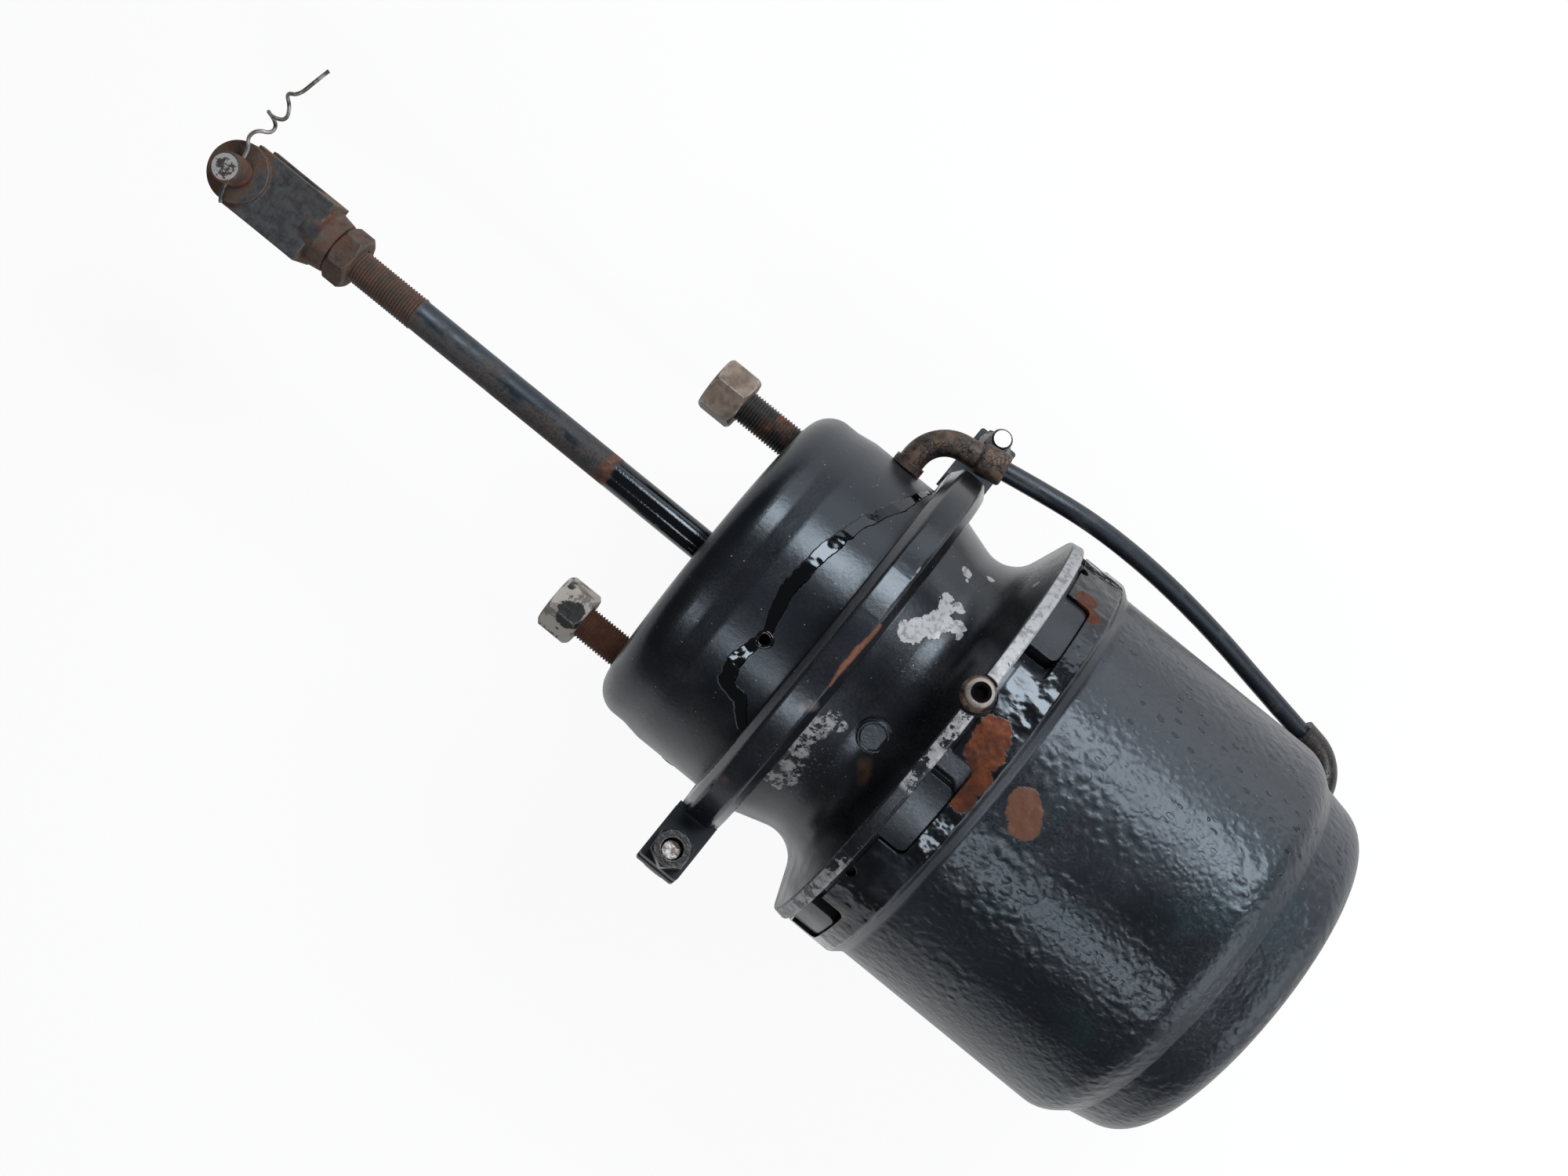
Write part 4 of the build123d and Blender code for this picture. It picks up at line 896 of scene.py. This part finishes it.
def wire_finish(n):
    """Dull galvanised wire with dark stretches."""
    shade = n.noise(n.point(), 160.0, 3.0)
    return {
        "Base Color": n.mottle((0.07, 0.065, 0.06), (0.36, 0.34, 0.32), shade, 0.38, 0.6),
        "Metallic": 0.6,
        "Roughness": 0.42,
    }


def plain_finish(n, dark, light, rough, metallic, scale):
    """Quiet surface for pieces inside and behind."""
    p = n.point()
    shade = n.noise(p, scale, 4.0, 0.6)
    return {
        "Base Color": n.mottle(dark, light, shade),
        "Metallic": metallic,
        "Roughness": n.blend(rough - 0.08, rough + 0.08, shade),
        "Height": n.noise(p, scale * 6.0, 3.0),
        "Depth": 0.00015,
    }


# material, its builder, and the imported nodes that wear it
FINISHES = [
    ("housing_black", housing_finish, "service_housing"),
    ("flange_worn_black", flange_finish, "intermediate_flange"),
    ("can_blistered_black", can_finish, "spring_can"),
    ("clamp_black", clamp_finish, "clamp_half_near clamp_half_far"),
    ("clamp_bolt_steel", bolt_finish, "clamp_bolts clamp_nuts"),
    ("nut_zinc", nut_finish, "stud_nuts"),
    ("rusty_forging", lambda n: rusty_forging(n, 0.95), "clevis"),
    ("rusty_nut", lambda n: rusty_forging(n, 0.25), "jam_nut"),
    ("pin_worn", pin_finish, "clevis_pin"),
    ("lock_screw_metal", lock_screw_finish, "lock_screw"),
    ("front_elbow_dusty", lambda n: elbow_finish(n, 0.95), "front_elbow"),
    ("rear_elbow_black", lambda n: elbow_finish(n, 0.15), "rear_elbow")]
# the same for the quiet ones: dark and light colour, roughness, metal share and scale in place of the builder
PLAIN_FINISHES = [
    ("oiled_spring_steel", (0.05, 0.055, 0.065), (0.11, 0.115, 0.125), 0.35, 0.9, 180.0,
     "return_spring power_spring retaining_ring push_plate"),
    ("moulded_rubber", (0.010, 0.010, 0.011), (0.024, 0.024, 0.025), 0.6, 0.0, 220.0,
     "rod_dust_seal drain_plugs service_diaphragm tube_seal can_seal piston_seal"),
    ("pale_bearing_plastic", (0.42, 0.40, 0.34), (0.55, 0.53, 0.46), 0.5, 0.0, 90.0,
     "tube_bush piston_guide_ring"),
    ("cast_alloy", (0.38, 0.38, 0.38), (0.52, 0.52, 0.51), 0.45, 0.7, 260.0, "spring_piston"),
    ("zinc_plate", (0.30, 0.29, 0.26), (0.50, 0.49, 0.45), 0.38, 0.8, 150.0,
     "piston_tube stop_ring release_bolt release_washer release_bush")]


def dress_packed_pieces():
    """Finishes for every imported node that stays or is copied."""
    for name, build, nodes in FINISHES:
        dress(nodes, finish_material(name, build))
    for name, *surface, nodes in PLAIN_FINISHES:
        dress(nodes, finish_material(name, lambda n: plain_finish(n, *surface)))


# ------------------------------------------------------------------ pieces in place of packed ones, and trim
def add_piece(name, data, body, material):
    """Object for a mesh or a curve that rides on a body."""
    piece = bpy.data.objects.new(name, data)
    scene.collection.objects.link(piece)
    data.materials.append(material)
    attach(piece, body)
    return piece


def placed_mesh(name, mesh, place, along):
    """Mesh from a bmesh that was built round Z, turned so that Z points along and moved to a place."""
    data = bpy.data.meshes.new(name)
    mesh.to_mesh(data)
    mesh.free()
    turn = Vector(along).to_track_quat("Z", "Y").to_matrix().to_4x4()
    data.transform(Matrix.Translation(place) @ turn)
    return data


def turned_bar(name, stations, place, along, segments=64):
    """Closed bar from (length, radius function of the angle) stations; place and along set its axis."""
    mesh = bmesh.new()
    turn = [2 * pi * i / segments for i in range(segments)]
    rings = []
    for length, radius_at in stations:
        rings.append([mesh.verts.new((radius_at(a) * cos(a), radius_at(a) * sin(a), length)) for a in turn])
    for lower, upper in zip(rings, rings[1:]):
        for i in range(segments):
            j = (i + 1) % segments
            mesh.faces.new((lower[i], lower[j], upper[j], upper[i]))
    mesh.faces.new(list(reversed(rings[0])))
    mesh.faces.new(rings[-1])
    for face in mesh.faces:
        face.smooth = len(face.verts) == 4
    return placed_mesh(name, mesh, place, along)


STEPS_PER_TURN = 8      # stations in each turn of a thread


def thread_stations(start, end, crest, depth, pitch, fade=0.0015):
    """Stations of a screw thread that starts from nothing and gets shallow again just before its end."""
    steps = int((end - start) / pitch * STEPS_PER_TURN)
    stations = []
    for i in range(steps + 1):
        length = start + (end - start) * i / steps
        deep = depth * min(1.0, (length - start) / fade, (end - length) / (0.4 * fade) + 0.35)

        def radius_at(angle, length=length, deep=deep):
            phase = (length / pitch - angle / (2 * pi)) % 1.0
            return crest - deep * min(1.0, 1.25 * abs(2 * phase - 1.0))
        stations.append((length, radius_at))
    return stations


def plain(length, radius):
    """Round station."""
    return (length, lambda angle: radius)


STUD_REACH = 40.0 * MM      # how far a stud stands out of the housing's front
STUD_HEAD_X = 8.0 * MM      # back of the stud's head inside the housing
STUD_HEAD = 5.0 * MM
STUD_HEAD_R, STUD_NECK_R, STUD_CREST_R, STUD_TIP_R = 9.2 * MM, 8.9 * MM, 7.95 * MM, 6.4 * MM
M16_DEPTH, M16_PITCH = 0.92 * MM, 1.5 * MM
ROD_R = 7.5 * MM
ROD_THREAD_R = 8.0 * MM


def threaded_studs(material):
    """Both studs with their M16 x 1.5 thread, in place of the plain packed ones."""
    tip = STUD_HEAD_X + STUD_REACH
    for side, name in ((1, "stud_thread_upper"), (-1, "stud_thread_lower")):
        stations = [plain(0.0, STUD_HEAD_R), plain(STUD_HEAD, STUD_HEAD_R), plain(STUD_HEAD, STUD_NECK_R),
                    plain(STUD_HEAD_X, STUD_NECK_R)]
        stations += thread_stations(STUD_HEAD_X + 0.1 * MM, tip - 0.8 * MM, STUD_CREST_R, M16_DEPTH, M16_PITCH)
        stations.append(plain(tip, STUD_TIP_R))
        mesh = turned_bar(name, stations, (STUD_HEAD_X, side * STUD_Y, 0.0), (-1, 0, 0))
        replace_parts(add_piece(name, mesh, "chamber", material), "mounting_studs")


def push_rod_with_thread(material):
    """Push rod whose far end is cut with the thread for the jam nut and the clevis."""
    tip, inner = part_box("push_rod")[0][0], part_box("push_rod")[1][0]
    plain_length = inner - ROD_THREAD_X
    length = inner - tip
    stations = [plain(0.0, ROD_R - 0.5 * MM), plain(0.5 * MM, ROD_R)]
    stations += [plain(plain_length * share, ROD_R) for share in (0.33, 0.66, 0.995)]
    stations += thread_stations(plain_length, length - 0.8 * MM, ROD_THREAD_R, M16_DEPTH, M16_PITCH)
    stations.append(plain(length, ROD_THREAD_R - 1.2 * MM))
    mesh = turned_bar("push_rod_thread", stations, (inner, 0.0, 0.0), (-1, 0, 0))
    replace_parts(add_piece("push_rod_thread", mesh, "rod", material), "push_rod")


def smooth_tube(name, points, radius, body, material, resolution=10):
    """Round tube along a smooth curve whose control points are given in metres."""
    curve = bpy.data.curves.new(name, "CURVE")
    curve.dimensions = "3D"
    curve.bevel_depth = radius
    curve.bevel_resolution = 5
    curve.use_fill_caps = True
    spline = curve.splines.new("NURBS")
    spline.points.add(len(points) - 1)
    for place, point in zip(points, spline.points):
        point.co = (*place, 1.0)
    spline.order_u = 3
    spline.use_endpoint_u = True
    spline.resolution_u = resolution
    return add_piece(name, curve, body, material)


# (x, radius, angle) of the hose's route, as in the part's source, in millimetres and degrees
HOSE_ROUTE = [(80.0, 110.4, 4.0), (99.0, 113.7, 4.0), (127.0, 117.2, 0.0), (162.0, 118.1, -6.0),
              (200.0, 116.9, -13.0), (235.0, 114.3, -19.0), (262.0, 111.4, -21.5)]
HOSE_R = 4.5 * MM


def breather_hose(material):
    """Hose between the two elbows, on one smooth line."""
    points = [around(angle, radius, x) for x, radius, angle in HOSE_ROUTE]
    hose = smooth_tube("breather_hose_smooth", points, HOSE_R, "chamber", material, 24)
    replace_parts(hose, "breather_hose")


# places on the wire from the middle of the pin's cross hole, in millimetres
WIRE_START = Vector((PIN_X / MM, 0.0, 19.5))
WIRE_ROUTE = [
    (3, -15, -2), (0, -11, 0), (0, 11, 0), (-4, 15, 1.5), (-1.5, 20.5, 4.5), (3.5, 23, 1), (1.5, 27.5, -3),
    (-5, 30, 0.5), (1, 29, 5.5), (5.5, 31.5, 2), (1.5, 37, -2.5), (-2.5, 41, 1), (3.5, 43.5, 3.5),
    (4.5, 53, 0), (6, 60, -1)]
WIRE_R = 0.9 * MM


def locking_wire(material):
    """Bent wire through the clevis pin."""
    points = [(WIRE_START + Vector(step)) * MM for step in WIRE_ROUTE]
    wire = smooth_tube("locking_wire_smooth", points, WIRE_R, "pin", material)
    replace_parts(wire, "locking_wire")


def ring_mesh(name, place, outward, radius, thickness, lift, wobble=0.0):
    """Soft ring of paint or casting that lies on a wall round a point."""
    mesh = bmesh.new()
    around_ring, section = 40, 10
    rows = []
    for i in range(around_ring):
        turn = 2 * pi * i / around_ring
        here = radius * (1.0 + wobble * sin(3 * turn + 0.7))
        row = []
        for j in range(section):
            tilt = 2 * pi * j / section
            reach = here + thickness * cos(tilt)
            row.append(mesh.verts.new((reach * cos(turn), reach * sin(turn), lift * sin(tilt))))
        rows.append(row)
    for i in range(around_ring):
        for j in range(section):
            k, m = (i + 1) % around_ring, (j + 1) % section
            mesh.faces.new((rows[i][j], rows[k][j], rows[k][m], rows[i][m])).smooth = True
    return placed_mesh(name, mesh, place, outward)


CLAMP_BOLT = around(-21.0, 116.5, 70.2)     # where the first bolt crosses the clamp's parting plane
NUT_TOP, BOLT_END = 18.3 * MM, 34.0 * MM    # along that bolt
BOLT_CREST, BOLT_DEPTH, BOLT_PITCH = 5.15 * MM, 0.4 * MM, 1.25 * MM


def clamp_bolt_thread(material):
    """Thread on the bare end of the longer clamp bolt."""
    outward = Vector(BOLT_OUTWARD)
    length = BOLT_END - NUT_TOP - 1.1 * MM
    stations = thread_stations(0.0, length, BOLT_CREST, BOLT_DEPTH, BOLT_PITCH, 0.0008)
    mesh = turned_bar("clamp_bolt_thread", stations, CLAMP_BOLT + outward * NUT_TOP, outward, 40)
    add_piece("clamp_bolt_thread", mesh, "chamber", material)


# node, slot, moving body, and where along X, in millimetres, the chamber's hold ends and that body's begins
STRETCHED = [
    ("return_spring", "spring_steel", "rod", 7.2, 31.8),
    ("power_spring", "spring_steel", "piston", 288.0, 139.0),
    ("service_diaphragm", "soft_rubber", "rod", 68.0, 42.0)]


def stretch_with_stroke():
    """Springs and diaphragm copied in place of the imported ones, with their placement baked into the mesh."""
    for node, slot, body, still_x, moving_x in STRETCHED:
        mesh = cad[node].data.copy()
        piece = bpy.data.objects.new(node + "_stretching", mesh)
        scene.collection.objects.link(piece)
        piece.matrix_world = cad[node].matrix_world.copy()
        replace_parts(piece, node)
        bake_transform(piece)


DRAIN_HOLE, BOSS = (94.0, 83.9, 45.0), (96.5, 79.5, 104.5)      # angle, radius and x of their mouths


def add_threads_and_trim():
    """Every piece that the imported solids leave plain."""
    threaded_studs(finish_material("stud_rust", stud_finish))
    push_rod_with_thread(finish_material("rod_dark_steel", rod_finish))
    breather_hose(finish_material("hose_rubber", hose_finish))
    locking_wire(finish_material("wire_dull", wire_finish))
    paint = finish_material("wet_paint", wet_paint_finish)
    lip = ring_mesh("drain_hole_lip", around(*DRAIN_HOLE), around(DRAIN_HOLE[0], 1.0), 3.1 * MM, 0.95 * MM,
                    0.6 * MM, 0.05)
    add_piece("drain_hole_lip", lip, "chamber", paint)
    cast = cad["intermediate_flange"].data.materials[0]
    ring = ring_mesh("boss_ring", around(*BOSS), around(BOSS[0], 1.0), 6.3 * MM, 0.95 * MM, 0.85 * MM)
    add_piece("boss_ring", ring, "chamber", cast)
    clamp_bolt_thread(cad["clamp_bolts"].data.materials[0])


place_camera()
studio()
dress_packed_pieces()
add_threads_and_trim()
stretch_with_stroke()
